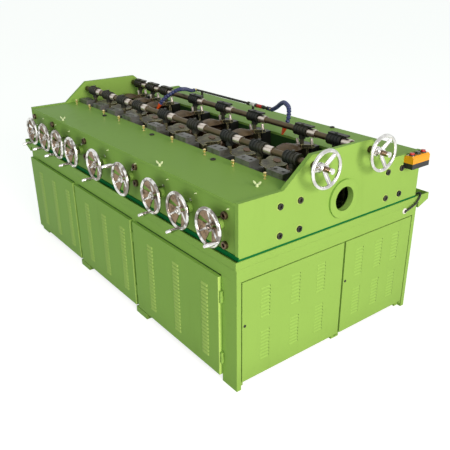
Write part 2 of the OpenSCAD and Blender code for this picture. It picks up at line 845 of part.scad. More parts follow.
// Heading at point i of the smooth way: at its ends that of the first or last two points set by hand
function heading(p, way, i) =
    let (n = len(way) - 1, last = len(p) - 1)
    i == 0 ? unit(p[1] - p[0]) : i == n ? unit(p[last] - p[last - 1]) : unit(way[i + 1] - way[i - 1]);
function ring_at(centre, dir, aside, r, sides) =
    let (across = unit(cross(dir, aside)), over = cross(dir, across))
    [for (s = [0 : sides - 1]) centre + r * (cos(360 * s / sides) * across + sin(360 * s / sides) * over)];

// Closed tube of few sides through points, which nowhere run along aside
module tube(p, aside, r, sides) {
    way = smooth(p, 4);
    n = len(way);
    points = [for (i = [0 : n - 1]) each ring_at(way[i], heading(p, way, i), aside, r, sides)];
    sides_faces = [for (i = [0 : n - 2], s = [0 : sides - 1])
        [i * sides + s, i * sides + (s + 1) % sides, (i + 1) * sides + (s + 1) % sides, (i + 1) * sides + s]];
    first = [for (s = [sides - 1 : -1 : 0]) s];
    last = [for (s = [0 : sides - 1]) (n - 1) * sides + s];
    polyhedron(points, concat([first], sides_faces, [last]));
}

module coolant_hoses() {
    color(blue) {
        tube(hose_far, [1, 0, 0], hose_r, 10);
        tube(hose_near, [0.3, 1, 0], hose_r, 10);
    }
}

module coolant_nozzles() {
    color(orange) for (way = [hose_far, hose_near]) {
        end = way[len(way) - 1];
        dir = unit(end - way[len(way) - 2]);
        translate(end) rotate([0, acos(dir[2]), atan2(dir[1], dir[0])])
            cylinder(r1 = hose_r + 2, r2 = hose_r / 2, h = nozzle_l);
    }
}

translate(shift) {
    base_posts();
    base_rails();
    fixed_covers();
    drip_tray();
    door_front_1();
    door_front_2();
    door_front_3();
    door_end_1();
    door_end_2();
    near_end_plate();
    far_end_plate();
    front_wall();
    back_wall();
    front_table();
    back_table();
    trough_walls();
    ram_guides();
    roll_yokes();
    worm_boxes();
    end_rings();
    spindle_bosses();
    front_line_shaft();
    back_line_shaft();
    front_end_handwheel();
    back_end_handwheel();
    handwheel_1();
    handwheel_2();
    handwheel_3();
    handwheel_4();
    handwheel_5();
    handwheel_6();
    handwheel_7();
    handwheel_8();
    handwheel_9();
    roll_front_1();
    roll_front_2();
    roll_front_3();
    roll_front_4();
    roll_front_5();
    roll_front_6();
    roll_front_7();
    roll_front_8();
    roll_front_9();
    roll_back_1();
    roll_back_2();
    roll_back_3();
    roll_back_4();
    roll_back_5();
    roll_back_6();
    roll_back_7();
    roll_back_8();
    control_box_base();
    control_box_cover();
    control_buttons();
    coolant_pipe();
    coolant_hoses();
    coolant_nozzles();
}
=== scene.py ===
"""Looks of a roller straightening machine: finishes for its solids, and small parts that ride on them."""

import json
import math

import bmesh
import bpy
from bpy.props import FloatProperty, FloatVectorProperty, IntProperty, PointerProperty
from mathutils import Euler, Matrix, Vector


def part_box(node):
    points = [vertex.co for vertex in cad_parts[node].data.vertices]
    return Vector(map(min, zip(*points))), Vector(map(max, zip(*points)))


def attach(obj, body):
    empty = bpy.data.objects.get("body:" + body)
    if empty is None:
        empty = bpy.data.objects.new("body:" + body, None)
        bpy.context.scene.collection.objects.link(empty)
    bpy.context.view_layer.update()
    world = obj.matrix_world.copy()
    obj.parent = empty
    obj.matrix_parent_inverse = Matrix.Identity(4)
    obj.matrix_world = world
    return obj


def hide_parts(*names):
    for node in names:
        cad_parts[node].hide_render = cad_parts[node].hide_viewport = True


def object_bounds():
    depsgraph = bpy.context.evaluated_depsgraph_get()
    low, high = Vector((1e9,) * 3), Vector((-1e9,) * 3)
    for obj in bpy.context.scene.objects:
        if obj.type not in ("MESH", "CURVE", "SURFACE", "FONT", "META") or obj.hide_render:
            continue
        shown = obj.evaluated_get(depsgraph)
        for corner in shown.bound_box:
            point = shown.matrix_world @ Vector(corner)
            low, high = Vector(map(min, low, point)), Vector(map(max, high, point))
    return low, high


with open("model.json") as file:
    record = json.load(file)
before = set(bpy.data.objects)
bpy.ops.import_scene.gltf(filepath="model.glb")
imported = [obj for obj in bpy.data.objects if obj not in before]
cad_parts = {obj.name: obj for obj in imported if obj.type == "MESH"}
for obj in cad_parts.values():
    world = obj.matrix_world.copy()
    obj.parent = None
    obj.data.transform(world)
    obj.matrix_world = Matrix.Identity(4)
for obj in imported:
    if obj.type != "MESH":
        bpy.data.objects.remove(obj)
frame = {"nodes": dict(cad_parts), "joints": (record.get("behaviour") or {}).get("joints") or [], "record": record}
CAD_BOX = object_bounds()

bl_info = {
    "name": "Roller straightening machine",
    "version": (1, 0, 0),
    "blender": (4, 5, 0),
    "location": "View3D > Sidebar > Straightener",
    "description": "Finishes, fasteners and fittings of a roller straightening machine",
    "category": "Object",
}

MM = 0.001
BASE = "frame"
JOINTS = {joint["name"]: joint for joint in frame["joints"]}
PLATE_LOW, PLATE_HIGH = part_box("near_end_plate")
FAR_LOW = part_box("far_end_plate")[0]
WALL_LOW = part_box("front_wall")[0]
TABLE_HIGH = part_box("front_table")[1]
TRAY_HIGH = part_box("drip_tray")[1]
RAIL_LOW, RAIL_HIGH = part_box("base_rails")
PIPE_LOW, PIPE_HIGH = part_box("coolant_pipe")
MID_Y = (PLATE_LOW.y + PLATE_HIGH.y) / 2
MID_X = (RAIL_LOW.x + RAIL_HIGH.x) / 2
PASS_Z = JOINTS["roll_back_1_spin"]["pos_m"][2]
SHELF_Y = 0.188
DOME_Z = PASS_Z + 0.095
PLATE_Z = PASS_Z + 0.115
STUB_R = 0.0145
STUB_X = CAD_BOX[1][0] - 0.010
HANDLE_Y = JOINTS["handwheel_1_turn"]["pos_m"][1] - 0.011
BACK_ROLLS = [f"roll_back_{i}_spin" for i in range(1, 9)]
WHEELS = [f"handwheel_{i}" for i in range(1, 10)]
END_WHEELS = ["front_line", "back_line"]
FRONT_DOORS = ["door_front_1", "door_front_2", "door_front_3"]
END_DOORS = ["door_end_1", "door_end_2"]
FACE_FRONT = Euler((math.pi / 2, 0, 0))
FACE_NEAR = Euler((math.pi / 2, 0, math.pi / 2))
FACE_FAR = Euler((math.pi / 2, 0, -math.pi / 2))
FACE_UP = Euler((0, 0, 0))


def linear(code):
    """Linear colour of a six-digit code as painters' charts give it."""
    parts = [int(code[i:i + 2], 16) / 255 for i in (1, 3, 5)]
    return tuple(p / 12.92 if p <= 0.04045 else ((p + 0.055) / 1.055) ** 2.4 for p in parts)


def colour(name, description, code):
    return FloatVectorProperty(name=name, description=description, subtype="COLOR", size=3, min=0, max=1,
                               default=linear(code))


def length(name, description, millimetres):
    return FloatProperty(name=name, description=description, unit="LENGTH", min=0, default=millimetres * MM)


class FinishColours(bpy.types.PropertyGroup):
    """Colours of the machine's finishes."""
    body: colour("Body paint", "Lime green paint of cabinet, tray and bed", "#8eb656")
    # Painted highlight: a pale, lit copy of the body paint for the front louvres, the door edge strips and the
    # spot faces.
    pale: colour("Pale paint", "Painted highlight on louvres, door edges and spot faces", "#a6c568")
    # Painted highlight: a near-white copy of the green paint for the nipples, the wing bolts and the near plate's
    # top edge.
    bright: colour("Bright paint", "Painted highlight on nipples, wing bolts and the near plate's edge", "#d2e0ae")
    # Painted shadow: the dark band at the foot of the bed.
    seam: colour("Seam", "Painted shadow in a deep green band round the foot of the bed", "#0f6a35")
    grime: colour("Grime", "Dirt that settles in the paint", "#4f6a2c")
    # Oily paint, darkened as painted shade inside the deep trough; the doors' seals take it too.
    trough: colour("Trough paint", "Oily paint inside the trough, darkened as painted shade", "#35562c")
    steel: colour("Ground steel", "Guide blocks and the yokes' columns", "#7d7f7a")
    yoke: colour("Yoke iron", "Oily castings that carry the rolls", "#4c4a34")
    dome: colour("Dome iron", "Rusty brown caps of the back yokes", "#5c4a2d")
    # Paler than the yoke iron from wear and partly painted highlight.
    plate: colour("Plate", "Tops of the front yokes, pale from wear and painted highlight", "#6a6749")
    black: colour("Black iron", "Worm boxes and socket bolts", "#151b17")
    shaft: colour("Shaft steel", "Brown oily line shafts", "#5f5440")
    collar: colour("Collar steel", "Bright clamp collars on the shafts", "#d8cfc4")
    roll: colour("Roll steel", "Brown oily rolls", "#5a4632")
    chrome: colour("Chrome", "Handwheels and levers", "#e2e2df")
    # Painted reflection: the dark shop that the chrome is painted as mirroring. Paler shades of it paint the end
    # wheels' stubs and the front wheels' webs as reflection, and tone the wall bolts.
    shop: colour("Chrome shade", "Dark patches that the chrome mirrors", "#57493a")
    # Brass, lightened to stand for painted glints on the oil cups and hose fittings.
    brass: colour("Brass", "Oil cups and hose fittings", "#e6d49a")
    yellow: colour("Yellow", "Cover of the control box", "#e59e04")
    moulding: colour("Black moulding", "Base of the control box and cable", "#1d1f1d")
    red: colour("Red", "Outer buttons and the valve", "#c4241a")
    dark_button: colour("Dark green", "Middle button", "#1f3a22")
    hose: colour("Hose blue", "Segmented coolant hoses", "#2a3664")
    orange: colour("Orange", "Coolant nozzles", "#e4581e")
    pipe: colour("Pipe", "Dark coolant pipe", "#34352a")
    white: colour("White", "Grommet and pipe fitting", "#e8e8e2")


class DoorSizes(bpy.types.PropertyGroup):
    """Louvres and locks of the doors."""
    slit_l: length("Slit length", "Length of one louvre", 62)
    slit_h: length("Slit height", "Height of one louvre", 15)
    slit_out: length("Slit depth", "How far a louvre of the front doors stands out", 5)
    end_h: length("End slit height", "Height of one louvre of an end door", 11)
    end_out: length("End slit depth", "How far a louvre of the end doors stands out", 0.4)
    pitch: length("Pitch", "Distance between two louvres of a front door", 23)
    rows: IntProperty(name="Rows", description="Louvres in one column of a front door", default=19, min=1)
    end_pitch: length("End pitch", "Distance between two louvres of an end door", 20)
    end_rows: IntProperty(name="End rows", description="Louvres in a group of an end door", default=9, min=1)
    lock_r: length("Lock radius", "Radius of a door's lock", 8)
    lock_z: length("Lock height", "Height of the locks above the floor", 378)
    lock_in: length("Lock inset", "Distance of a lock from the door's free edge", 16)


class FastenerSizes(bpy.types.PropertyGroup):
    """Bolts, cups and levers."""
    plate_bolt: length("Plate bolt radius", "Radius of the bolts in the end plates", 17)
    wall_bolt: length("Wall bolt radius", "Radius of the bolts in the front wall", 20)
    table_bolt: length("Table bolt radius", "Radius of the bolts on the front table", 15)
    cup_r: length("Oil cup radius", "Radius of an oil cup", 11)
    cup_h: length("Oil cup height", "Height of an oil cup with its stem", 36)
    nipple_r: length("Nipple radius", "Radius of a grease nipple", 5)
    lever_r: length("Lever radius", "Radius of a lock lever", 6)
    lever_l: length("Lever length", "Length of a lock lever", 44)


class CoolantSizes(bpy.types.PropertyGroup):
    """Coolant hoses and their fittings."""
    hose_r: length("Hose radius", "Radius of a hose segment", 14.5)
    hose_pitch: length("Segment pitch", "Distance between two hose segments", 21)
    cable_d: length("Cable diameter", "Diameter of the cable at the near end", 11)


class StageSizes(bpy.types.PropertyGroup):
    """Camera, floor and lamps."""
    eye: FloatVectorProperty(name="Eye", description="Place of the camera", subtype="TRANSLATION", size=3,
                             default=(3.1354, -2.1218, 1.9838))
    lens: FloatProperty(name="Lens", description="Focal length of the camera", unit="CAMERA", default=46.48)
    floor: colour("Floor", "Pale floor", "#c4c4c2")
    key_power: FloatProperty(name="Key lamp", description="Power of the lamp at the near end", default=725)
    fill_power: FloatProperty(name="Fill lamp", description="Power of the lamp before the front", default=80)
    sky: FloatProperty(name="Sky", description="Strength of the even light from all round", default=0.36)


# Shaders


class Wire:
    """A shader socket that takes part in sums and products."""

    def __init__(self, finish, socket):
        self.finish = finish
        self.socket = socket

    def math(self, operation, *others):
        return self.finish.node("ShaderNodeMath", {"operation": operation}, dict(enumerate((self, *others))))

    def __add__(self, other):
        return self.math("ADD", other)

    def __sub__(self, other):
        return self.math("SUBTRACT", other)

    def __mul__(self, other):
        return self.math("MULTIPLY", other)

    __radd__ = __add__
    __rmul__ = __mul__

    def __rsub__(self, other):
        return self.finish.node("ShaderNodeMath", {"operation": "SUBTRACT"}, {0: other, 1: self})

    def over(self, edge):
        """1 where the value is greater than edge."""
        return self.math("GREATER_THAN", edge)

    def between(self, low, high):
        """0 at low, 1 at high and clamped outside."""
        return self.finish.node("ShaderNodeMapRange", {"clamp": True, "interpolation_type": "SMOOTHSTEP"},
                                {"Value": self, "From Min": low, "From Max": high})


def feed(tree, socket, value):
    """Links or sets one socket."""
    if isinstance(value, Wire):
        value = value.socket
    if isinstance(value, bpy.types.NodeSocket):
        tree.links.new(value, socket)
    elif socket.type == "RGBA" and len(value) == 3:
        socket.default_value = (*value, 1)
    else:
        socket.default_value = value


def add_node(tree, kind, settings, inputs):
    """Adds a node of any kind, sets it up, then feeds its sockets."""
    node = tree.nodes.new(kind)
    for key, value in settings.items():
        setattr(node, key, value)
    for key, value in inputs.items():
        feed(tree, node.inputs[key], value)
    return node


class Finish:
    """A material with a principled shader, built from expressions."""

    def __init__(self, name, **settings):
        self.material = bpy.data.materials.new(name)
        self.material.use_nodes = True
        self.tree = self.material.node_tree
        self.tree.nodes.clear()
        self.shader = add_node(self.tree, "ShaderNodeBsdfPrincipled", {}, {})
        add_node(self.tree, "ShaderNodeOutputMaterial", {}, {0: self.shader.outputs[0]})
        self.place = self.node("ShaderNodeTexCoord", {}, {}, "Object")
        self.set(**settings)

    def node(self, kind, settings, inputs, out=0):
        """Adds a node of any kind, set up and fed, and gives one of its outputs."""
        return Wire(self, add_node(self.tree, kind, settings, inputs).outputs[out])

    def noise(self, scale, detail=3.0, roughness=0.55, stretch=None):
        place = self.place
        if stretch:
            place = self.node("ShaderNodeMapping", {}, {"Vector": place, "Scale": stretch})
        return self.node("ShaderNodeTexNoise", {}, {"Vector": place, "Scale": scale, "Detail": detail,
                                                    "Roughness": roughness})

    def axis(self, name):
        return self.node("ShaderNodeSeparateXYZ", {}, {"Vector": self.place}, name)

    def mix(self, first, second, factor):
        return self.node("ShaderNodeMix", {"data_type": "RGBA"}, {0: factor, 6: first, 7: second}, 2)

    def bump(self, height, strength, distance, normal=None):
        inputs = {"Height": height, "Strength": strength, "Distance": distance}
        if normal:
            inputs["Normal"] = normal
        return self.node("ShaderNodeBump", {}, inputs)

    def rounded(self, radius):
        return self.node("ShaderNodeBevel", {"samples": 4}, {"Radius": radius})

    def edges(self, soft):
        """1 along sharp edges, where the rounded normal leaves the true one."""
        true = self.node("ShaderNodeNewGeometry", {}, {}, "Normal")
        alike = self.node("ShaderNodeVectorMath", {"operation": "DOT_PRODUCT"}, {0: soft, 1: true}, "Value")
        return (1 - alike).between(0.01, 0.12)

    def line_radius(self):
        """Distance from the nearer line shaft's axis."""
        spot = JOINTS["back_line_turn"]["pos_m"]
        across = (self.axis("Y") - MID_Y).math("ABSOLUTE") - (spot[1] - MID_Y)
        up = self.axis("Z") - spot[2]
        return (across * across + up * up).math("SQRT")

    def set(self, **values):
        """Feeds the shader's sockets, named in small letters, and gives the material."""
        for key, value in values.items():
            name = key.replace("_", " ").title().replace("Ior", "IOR")
            feed(self.tree, self.shader.inputs[name], value)
        return self.material


def shade(colour_value, factor):
    return tuple(min(1.0, c * factor) for c in colour_value)


def paint_finish(name, tone, grime, roughness, radius=0.003):
    """Brushed-on enamel: uneven gloss, faint clouds, dirt low down, softened edges and a painted highlight along
    them.
    """
    f = Finish(name, specular_ior_level=0.03)
    clouds = f.noise(2.2, 4.0)
    specks = f.noise(70.0, 2.0)
    runs = f.noise(6.0, 5.0, 0.6, (1.0, 1.0, 0.25))
    low = 1 - f.axis("Z").between(0.0, 0.22)
    dirt = (runs.between(0.55, 0.8) * 0.10 + low * runs * 0.25)
    base = f.mix(shade(tone, 0.93), shade(tone, 1.06), clouds)
    base = f.mix(base, shade(tone, 0.82), specks.between(0.66, 0.74) * 0.35)
    base = f.mix(base, grime, dirt)
    soft = f.rounded(radius)
    # Painted highlight: a paler tone of the paint along sharp edges.
    base = f.mix(base, shade(tone, 1.3), f.edges(soft) * 0.4)
    return f.set(base_color=base, roughness=clouds * 0.12 + (roughness - 0.06) + dirt * 0.3,
                 normal=f.bump(f.noise(220.0, 2.0), 0.12, 0.0006, soft))


def metal_finish(name, tone, stain, roughness, wear, scale=14.0):
    """Bare or oily metal with streaks and darker stains."""
    f = Finish(name, metallic=1.0)
    grain = f.noise(160.0, 3.0, 0.6)
    spots = f.noise(scale, 5.0, 0.65)
    base = f.mix(shade(tone, 1.15), tone, grain)
    base = f.mix(base, stain, spots.between(0.45, 0.72) * wear)
    return f.set(base_color=base, roughness=roughness + grain * 0.14 + spots * 0.12 - 0.12,
                 normal=f.bump(grain, 0.15, 0.0004))


def iron_finish(name, tone, stain, roughness):
    """Oily casting with a rough skin."""
    f = Finish(name, metallic=0.35, specular_ior_level=0.5)
    skin = f.noise(90.0, 4.0, 0.6)
    oil = f.noise(9.0, 4.0, 0.6)
    base = f.mix(tone, stain, oil.between(0.4, 0.7))
    return f.set(base_color=base, roughness=roughness + skin * 0.2 - oil.between(0.5, 0.7) * 0.2,
                 normal=f.bump(skin, 0.3, 0.001))


def shaft_finish(name, tone, collar, stain):
    """Brown shaft whose clamp collars are bright: the radius about the shaft tells them apart."""
    f = Finish(name, metallic=1.0)
    bright = f.line_radius().over(0.0195)
    grain = f.noise(120.0, 3.0, 0.6, (0.2, 1.0, 1.0))
    spots = f.noise(18.0, 4.0, 0.6)
    brown = f.mix(tone, stain, spots.between(0.4, 0.7) * 0.7)
    base = f.mix(brown, f.mix(collar, shade(collar, 0.8), grain), bright)
    return f.set(base_color=base, roughness=0.42 - bright * 0.14 + grain * 0.1,
                 normal=f.bump(grain, 0.12, 0.0004))


def chrome_finish(name, tone, shop):
    """Plating painted with soft patches of a mirrored dark shop as painted reflection, fewer on the end wheels and
    the handles so these read brighter, and the end wheels' stubs painted brown as the same reflection.
    """
    f = Finish(name, metallic=1.0)
    marks = f.noise(260.0, 3.0, 0.6, (1.0, 1.0, 0.3))
    patches = f.noise(26.0, 2.0, 0.5)
    films_and_reflections = f.noise(9.0, 3.0, 0.6)
    end = f.axis("X").over(PLATE_HIGH.x)
    # Fewer painted reflections on the end wheels and on the handles.
    plain = (end + 1 - f.axis("Y").over(HANDLE_Y)).math("MINIMUM", 1.0)
    # Painted reflection: soft patches of the dark shop colour.
    base = f.mix(tone, shop, patches.between(0.43, 0.56) * (0.75 - plain * 0.5))
    # Smudges, rougher and tinted a paler shop tone: partly real smudges, partly painted reflection.
    base = f.mix(base, shade(shop, 1.9), films_and_reflections.between(0.52, 0.66) * (0.4 - plain * 0.25))
    # Painted reflection: the end wheels' stubs take a paler brown of the mirrored shop.
    stub_reflection = end * (1 - f.line_radius().over(STUB_R)) * (1 - f.axis("X").over(STUB_X))
    base = f.mix(base, shade(shop, 2.2), stub_reflection)
    return f.set(base_color=base, roughness=0.07 + marks * 0.08 + films_and_reflections * 0.06,
                 normal=f.bump(marks, 0.05, 0.0002))


def guide_finish(name, tone, stain, dark):
    """Ground blocks of the front row; those of the back row blend to near black as painted shade at the back of
    the trough.
    """
    f = Finish(name, metallic=0.8)
    grain = f.noise(160.0, 3.0, 0.6)
    spots = f.noise(14.0, 5.0, 0.65)
    base = f.mix(f.mix(shade(tone, 1.15), tone, grain), stain, spots.between(0.45, 0.72) * 0.75)
    # Painted shade: blocks of the back row blend towards the black iron colour.
    base = f.mix(base, dark, (f.axis("Y") - MID_Y).over(0.0) * 0.85)
    return f.set(base_color=base, roughness=0.3 + grain * 0.14 + spots * 0.12,
                 normal=f.bump(grain, 0.15, 0.0004))


def yoke_finish(name, tone, stain, dome, plate):
    """Oily casting: rusty domes on the back row, pale tops on the front row from wear and partly painted
    highlight, and painted highlights along sharp edges.
    """
    f = Finish(name, metallic=0.3, specular_ior_level=0.5)
    skin = f.noise(90.0, 4.0, 0.6)
    oil = f.noise(9.0, 4.0, 0.6)
    rust = f.noise(22.0, 4.0, 0.65)
    across, up = f.axis("Y") - MID_Y, f.axis("Z")
    capped = across.over(0.0) * (1 - across.over(SHELF_Y)) * up.over(DOME_Z)
    # Front yokes' tops: paler from wear and partly a painted highlight of the light they catch.
    worn_lit_tops = (1 - across.over(0.0)) * up.between(PLATE_Z - 0.02, PLATE_Z)
    base = f.mix(tone, stain, oil.between(0.4, 0.7))
    base = f.mix(base, f.mix(dome, shade(dome, 0.45), rust.between(0.4, 0.7)), capped)
    base = f.mix(base, f.mix(plate, shade(plate, 0.35), rust.between(0.4, 0.6)), worn_lit_tops)
    # Painted highlight: a near-white tone along sharp edges, except on the domes.
    base = f.mix(base, shade(plate, 5.8), f.edges(f.rounded(0.005)) * 0.75 * (1 - capped))
    return f.set(base_color=base, roughness=0.4 + skin * 0.2 - oil.between(0.5, 0.7) * 0.2,
                 normal=f.bump(skin, 0.3, 0.001))


def plastic_finish(name, tone, roughness):
    """Moulded plastic with a fine grain and rubbed patches."""
    f = Finish(name, specular_ior_level=0.45)
    patches = f.noise(20.0, 3.0)
    return f.set(base_color=f.mix(shade(tone, 0.9), shade(tone, 1.06), patches),
                 roughness=patches * 0.14 + (roughness - 0.07),
                 normal=f.bump(f.noise(560.0, 2.0), 0.15, 0.0004))


def button_finish(name, red, dark):
    """Three buttons in one: the middle one is dark."""
    low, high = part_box("control_buttons")
    f = Finish(name, specular_ior_level=0.5)
    off = (f.axis("Y") - (low.y + high.y) / 2).math("ABSOLUTE")
    patches = f.noise(40.0, 3.0)
    base = f.mix(dark, red, off.over((high.y - low.y) / 6))
    return f.set(base_color=f.mix(base, shade(dark, 0.5), patches.between(0.6, 0.8) * 0.3),
                 roughness=patches * 0.15 + 0.22)


def make_finishes(colours):
    """All finishes by slot name, from the colours a user can change."""
    c = {key: tuple(getattr(colours, key)) for key in FinishColours.__annotations__}
    soot = shade(c["black"], 0.6)
    kinds = {
        "green_paint": (paint_finish, c["body"], c["grime"], 0.4),
        # Pale, lit copies of the body paint as painted highlight: on the front louvres and spot faces, on the door
        # edge strips, on nipples, wing bolts and the plate's edge, and on the end doors' louvres.
        "pale_paint": (paint_finish, c["pale"], c["body"], 0.34, 0.0006),
        "edge_paint": (paint_finish, shade(c["pale"], 1.2), c["body"], 0.34, 0.0006),
        "bright_paint": (paint_finish, c["bright"], c["body"], 0.3),
        "near_paint": (paint_finish, shade(c["body"], 1.12), c["body"], 0.4, 0.0002),
        # Dark greens as painted shade: the band at the foot of the bed, and the trough and door seals on oily
        # paint.
        "seam_paint": (paint_finish, c["seam"], soot, 0.5),
        "trough_paint": (paint_finish, c["trough"], soot, 0.42),
        "ground_steel": (guide_finish, c["steel"], c["yoke"], c["black"]),
        "oiled_iron": (yoke_finish, c["yoke"], c["black"], c["dome"], c["plate"]),
        "black_iron": (iron_finish, c["black"], shade(c["yoke"], 0.45), 0.42),
        "shaft_steel": (shaft_finish, c["shaft"], c["collar"], c["yoke"]),
        "roll_steel": (metal_finish, c["roll"], shade(c["roll"], 0.35), 0.36, 0.6),
        "chrome": (chrome_finish, c["chrome"], c["shop"]),
        "collar_steel": (metal_finish, shade(c["collar"], 0.7), c["yoke"], 0.4, 0.6),
        "bolt_steel": (metal_finish, shade(c["shop"], 1.5), shade(c["yoke"], 0.6), 0.4, 0.8),
        # Webs in a paler shade of the mirrored shop: painted reflection inside the front handwheels.
        "web_steel": (metal_finish, shade(c["shop"], 2.6), shade(c["shop"], 0.5), 0.34, 1.0, 30.0),
        "brass": (metal_finish, c["brass"], c["yoke"], 0.28, 0.3),
        "black_plastic": (plastic_finish, c["moulding"], 0.45),
        "yellow_plastic": (plastic_finish, c["yellow"], 0.4),
        "button_plastic": (button_finish, c["red"], c["dark_button"]),
        "pipe_iron": (iron_finish, c["pipe"], c["black"], 0.4),
        "hose_plastic": (plastic_finish, c["hose"], 0.42),
        "nozzle_plastic": (plastic_finish, c["orange"], 0.4),
        "white_plastic": (plastic_finish, c["white"], 0.4),
        "red_plastic": (plastic_finish, c["red"], 0.4),
    }
    return {name: make(name, *values) for name, (make, *values) in kinds.items()}


# Geometry


def placed(name, data):
    """A new object in the scene, at the origin."""
    thing = bpy.data.objects.new(name, data)
    bpy.context.scene.collection.objects.link(thing)
    return thing


def lathe(name, profile, sides=24, hexed=()):
    """Solid turned about +Z through (radius, height) pairs; rings listed in hexed are hexagons."""
    bm = bmesh.new()
    rings = []
    for k, (radius, z) in enumerate(profile):
        ring = []
        for i in range(sides):
            angle = 2 * math.pi * i / sides
            r = radius
            if k in hexed:
                r = radius * math.cos(math.pi / 6) / math.cos((angle % (math.pi / 3)) - math.pi / 6)
            ring.append(bm.verts.new((r * math.cos(angle), r * math.sin(angle), z)))
        rings.append(ring)
    for a, b in zip(rings, rings[1:]):
        for i in range(sides):
            j = (i + 1) % sides
            bm.faces.new((a[i], a[j], b[j], b[i]))
    bm.faces.new(rings[0][::-1])
    bm.faces.new(rings[-1])
    bmesh.ops.recalc_face_normals(bm, faces=bm.faces)
    return shape_object(name, bm)


def shape_object(name, bm, smooth_angle=35):
    mesh = bpy.data.meshes.new(name)
    bm.to_mesh(mesh)
    bm.free()
    mesh.shade_smooth()
    mesh.set_sharp_from_angle(angle=math.radians(smooth_angle))
    return placed(name, mesh)


def louvre_shape(name):
    """Pressed hood of unit length, height and depth: flush at its top, open and standing out at its foot."""
    bm = bmesh.new()
    steps = 8
    rows = []
    for i in range(steps + 1):
        u = i / steps - 0.5
        swell = math.sqrt(max(0.0, 1 - (2 * u) ** 6))
        out = 0.08 + 0.92 * swell
        rows.append([bm.verts.new(p) for p in ((u, 0.5, 0), (u, 0.1, 0.62 * out), (u, -0.34, out),
                                               (u, -0.46, 0.86 * out), (u, -0.40, -0.05))])
    for a, b in zip(rows, rows[1:]):
        for k in range(4):
            bm.faces.new((a[k], a[k + 1], b[k + 1], b[k]))
        bm.faces.new((a[4], a[0], b[0], b[4]))
    bm.faces.new(rows[0])
    bm.faces.new(rows[-1][::-1])
    bmesh.ops.recalc_face_normals(bm, faces=bm.faces)
    return shape_object(name, bm, 50)


def wing_shape(name):
    """Wing bolt in metres: a short stem and two rounded wings that spread upward."""
    bm = bmesh.new()
    bmesh.ops.create_cone(bm, cap_ends=True, segments=16, radius1=0.008, radius2=0.006, depth=0.016,
                          matrix=Matrix.Translation((0, 0, 0.007)))
    for side in (-1, 1):
        turn = Matrix.Translation((side * 0.013, 0, 0.019)) @ Matrix.Rotation(side * 0.7, 4, "Y")
        bmesh.ops.create_uvsphere(bm, u_segments=12, v_segments=8, radius=1.0,
                                  matrix=turn @ Matrix.Diagonal((0.006, 0.003, 0.012, 1)))
    return shape_object(name, bm)


class Tree:
    """A geometry tree that copies a shape, with named inputs for shape, sizes and finish."""

    def __init__(self, name, sizes):
        self.group = bpy.data.node_groups.new(name, "GeometryNodeTree")
        sockets = self.group.interface
        for way in ("INPUT", "OUTPUT"):
            sockets.new_socket("Geometry", in_out=way, socket_type="NodeSocketGeometry")
        kinds = {"Shape": "Object", **{size: "Float" for size in sizes}, "Finish": "Material"}
        self.keys = {}
        for label, kind in kinds.items():
            socket = sockets.new_socket(label, in_out="INPUT", socket_type="NodeSocket" + kind)
            self.keys[label] = socket.identifier
        self.inputs = self.node("NodeGroupInput", {}, {}).outputs

    def node(self, kind, settings, inputs):
        return add_node(self.group, kind, settings, inputs)

    def spread(self, points, turn, sizes):
        """Puts the shape on points, turned and scaled along X, Y and Z, as real faces with their finish."""
        shape = self.node("GeometryNodeObjectInfo", {}, {"Object": self.inputs["Shape"]})
        scale = self.node("ShaderNodeCombineXYZ", {}, {a: self.inputs[s] for a, s in zip("XYZ", sizes)})
        copies = self.node("GeometryNodeInstanceOnPoints", {}, {
            "Points": points, "Instance": shape.outputs["Geometry"], "Rotation": turn,
            "Scale": scale.outputs[0]})
        real = self.node("GeometryNodeRealizeInstances", {}, {"Geometry": copies.outputs[0]})
        done = self.node("GeometryNodeSetMaterial", {}, {"Geometry": real.outputs[0],
                                                         "Material": self.inputs["Finish"]})
        self.node("NodeGroupOutput", {}, {0: done.outputs[0]})
        return self

    def grow(self, seed, name, **values):
        """The tree's result on seed as a plain mesh object; seed goes away."""
        modifier = seed.modifiers.new("grow", "NODES")
        modifier.node_group = self.group
        for label, value in values.items():
            modifier[self.keys[label.replace("_", " ").title()]] = value
        bpy.context.view_layer.update()
        graph = bpy.context.evaluated_depsgraph_get()
        mesh = bpy.data.meshes.new_from_object(seed.evaluated_get(graph), depsgraph=graph)
        seed.modifiers.clear()
        bpy.data.objects.remove(seed)
        if not mesh.polygons:
            raise RuntimeError(f"{name}: the tree made no faces")
        mesh.name = name
        return placed(name, mesh)


def repeat_tree():
    """Puts a unit shape on every point, turned as the point says and scaled to the named sizes."""
    sizes = ("Width", "Depth", "Height")
    t = Tree("repeat_shape", sizes)
    turn = t.node("GeometryNodeInputNamedAttribute", {"data_type": "FLOAT_VECTOR"}, {"Name": "turn"})
    return t.spread(t.inputs["Geometry"], turn.outputs["Attribute"], sizes)


def chain_tree():
    """Strings a unit link along a curve at an even pitch."""
    t = Tree("string_links", ("Radius", "Pitch"))
    points = t.node("GeometryNodeCurveToPoints", {"mode": "LENGTH"}, {
        "Curve": t.inputs["Geometry"], "Length": t.inputs["Pitch"]})
    return t.spread(points.outputs["Points"], points.outputs["Rotation"], ("Radius", "Radius", "Pitch"))


def seed_points(places):
    """Loose points that carry how each copy is turned; places are (point, euler) pairs."""
    mesh = bpy.data.meshes.new("seed")
    mesh.from_pydata([tuple(p) for p, _ in places], [], [])
    turn = mesh.attributes.new("turn", "FLOAT_VECTOR", "POINT")
    for i, (_, euler) in enumerate(places):
        turn.data[i].vector = tuple(euler)
    return placed("seed", mesh)


def settle(thing, slot, body=BASE):
    """A finished piece: its material, the body it rides on and the slot it takes its finish from."""
    thing.data.materials.clear()
    thing.data.materials.append(FINISHES[slot])
    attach(thing, body)
    return thing


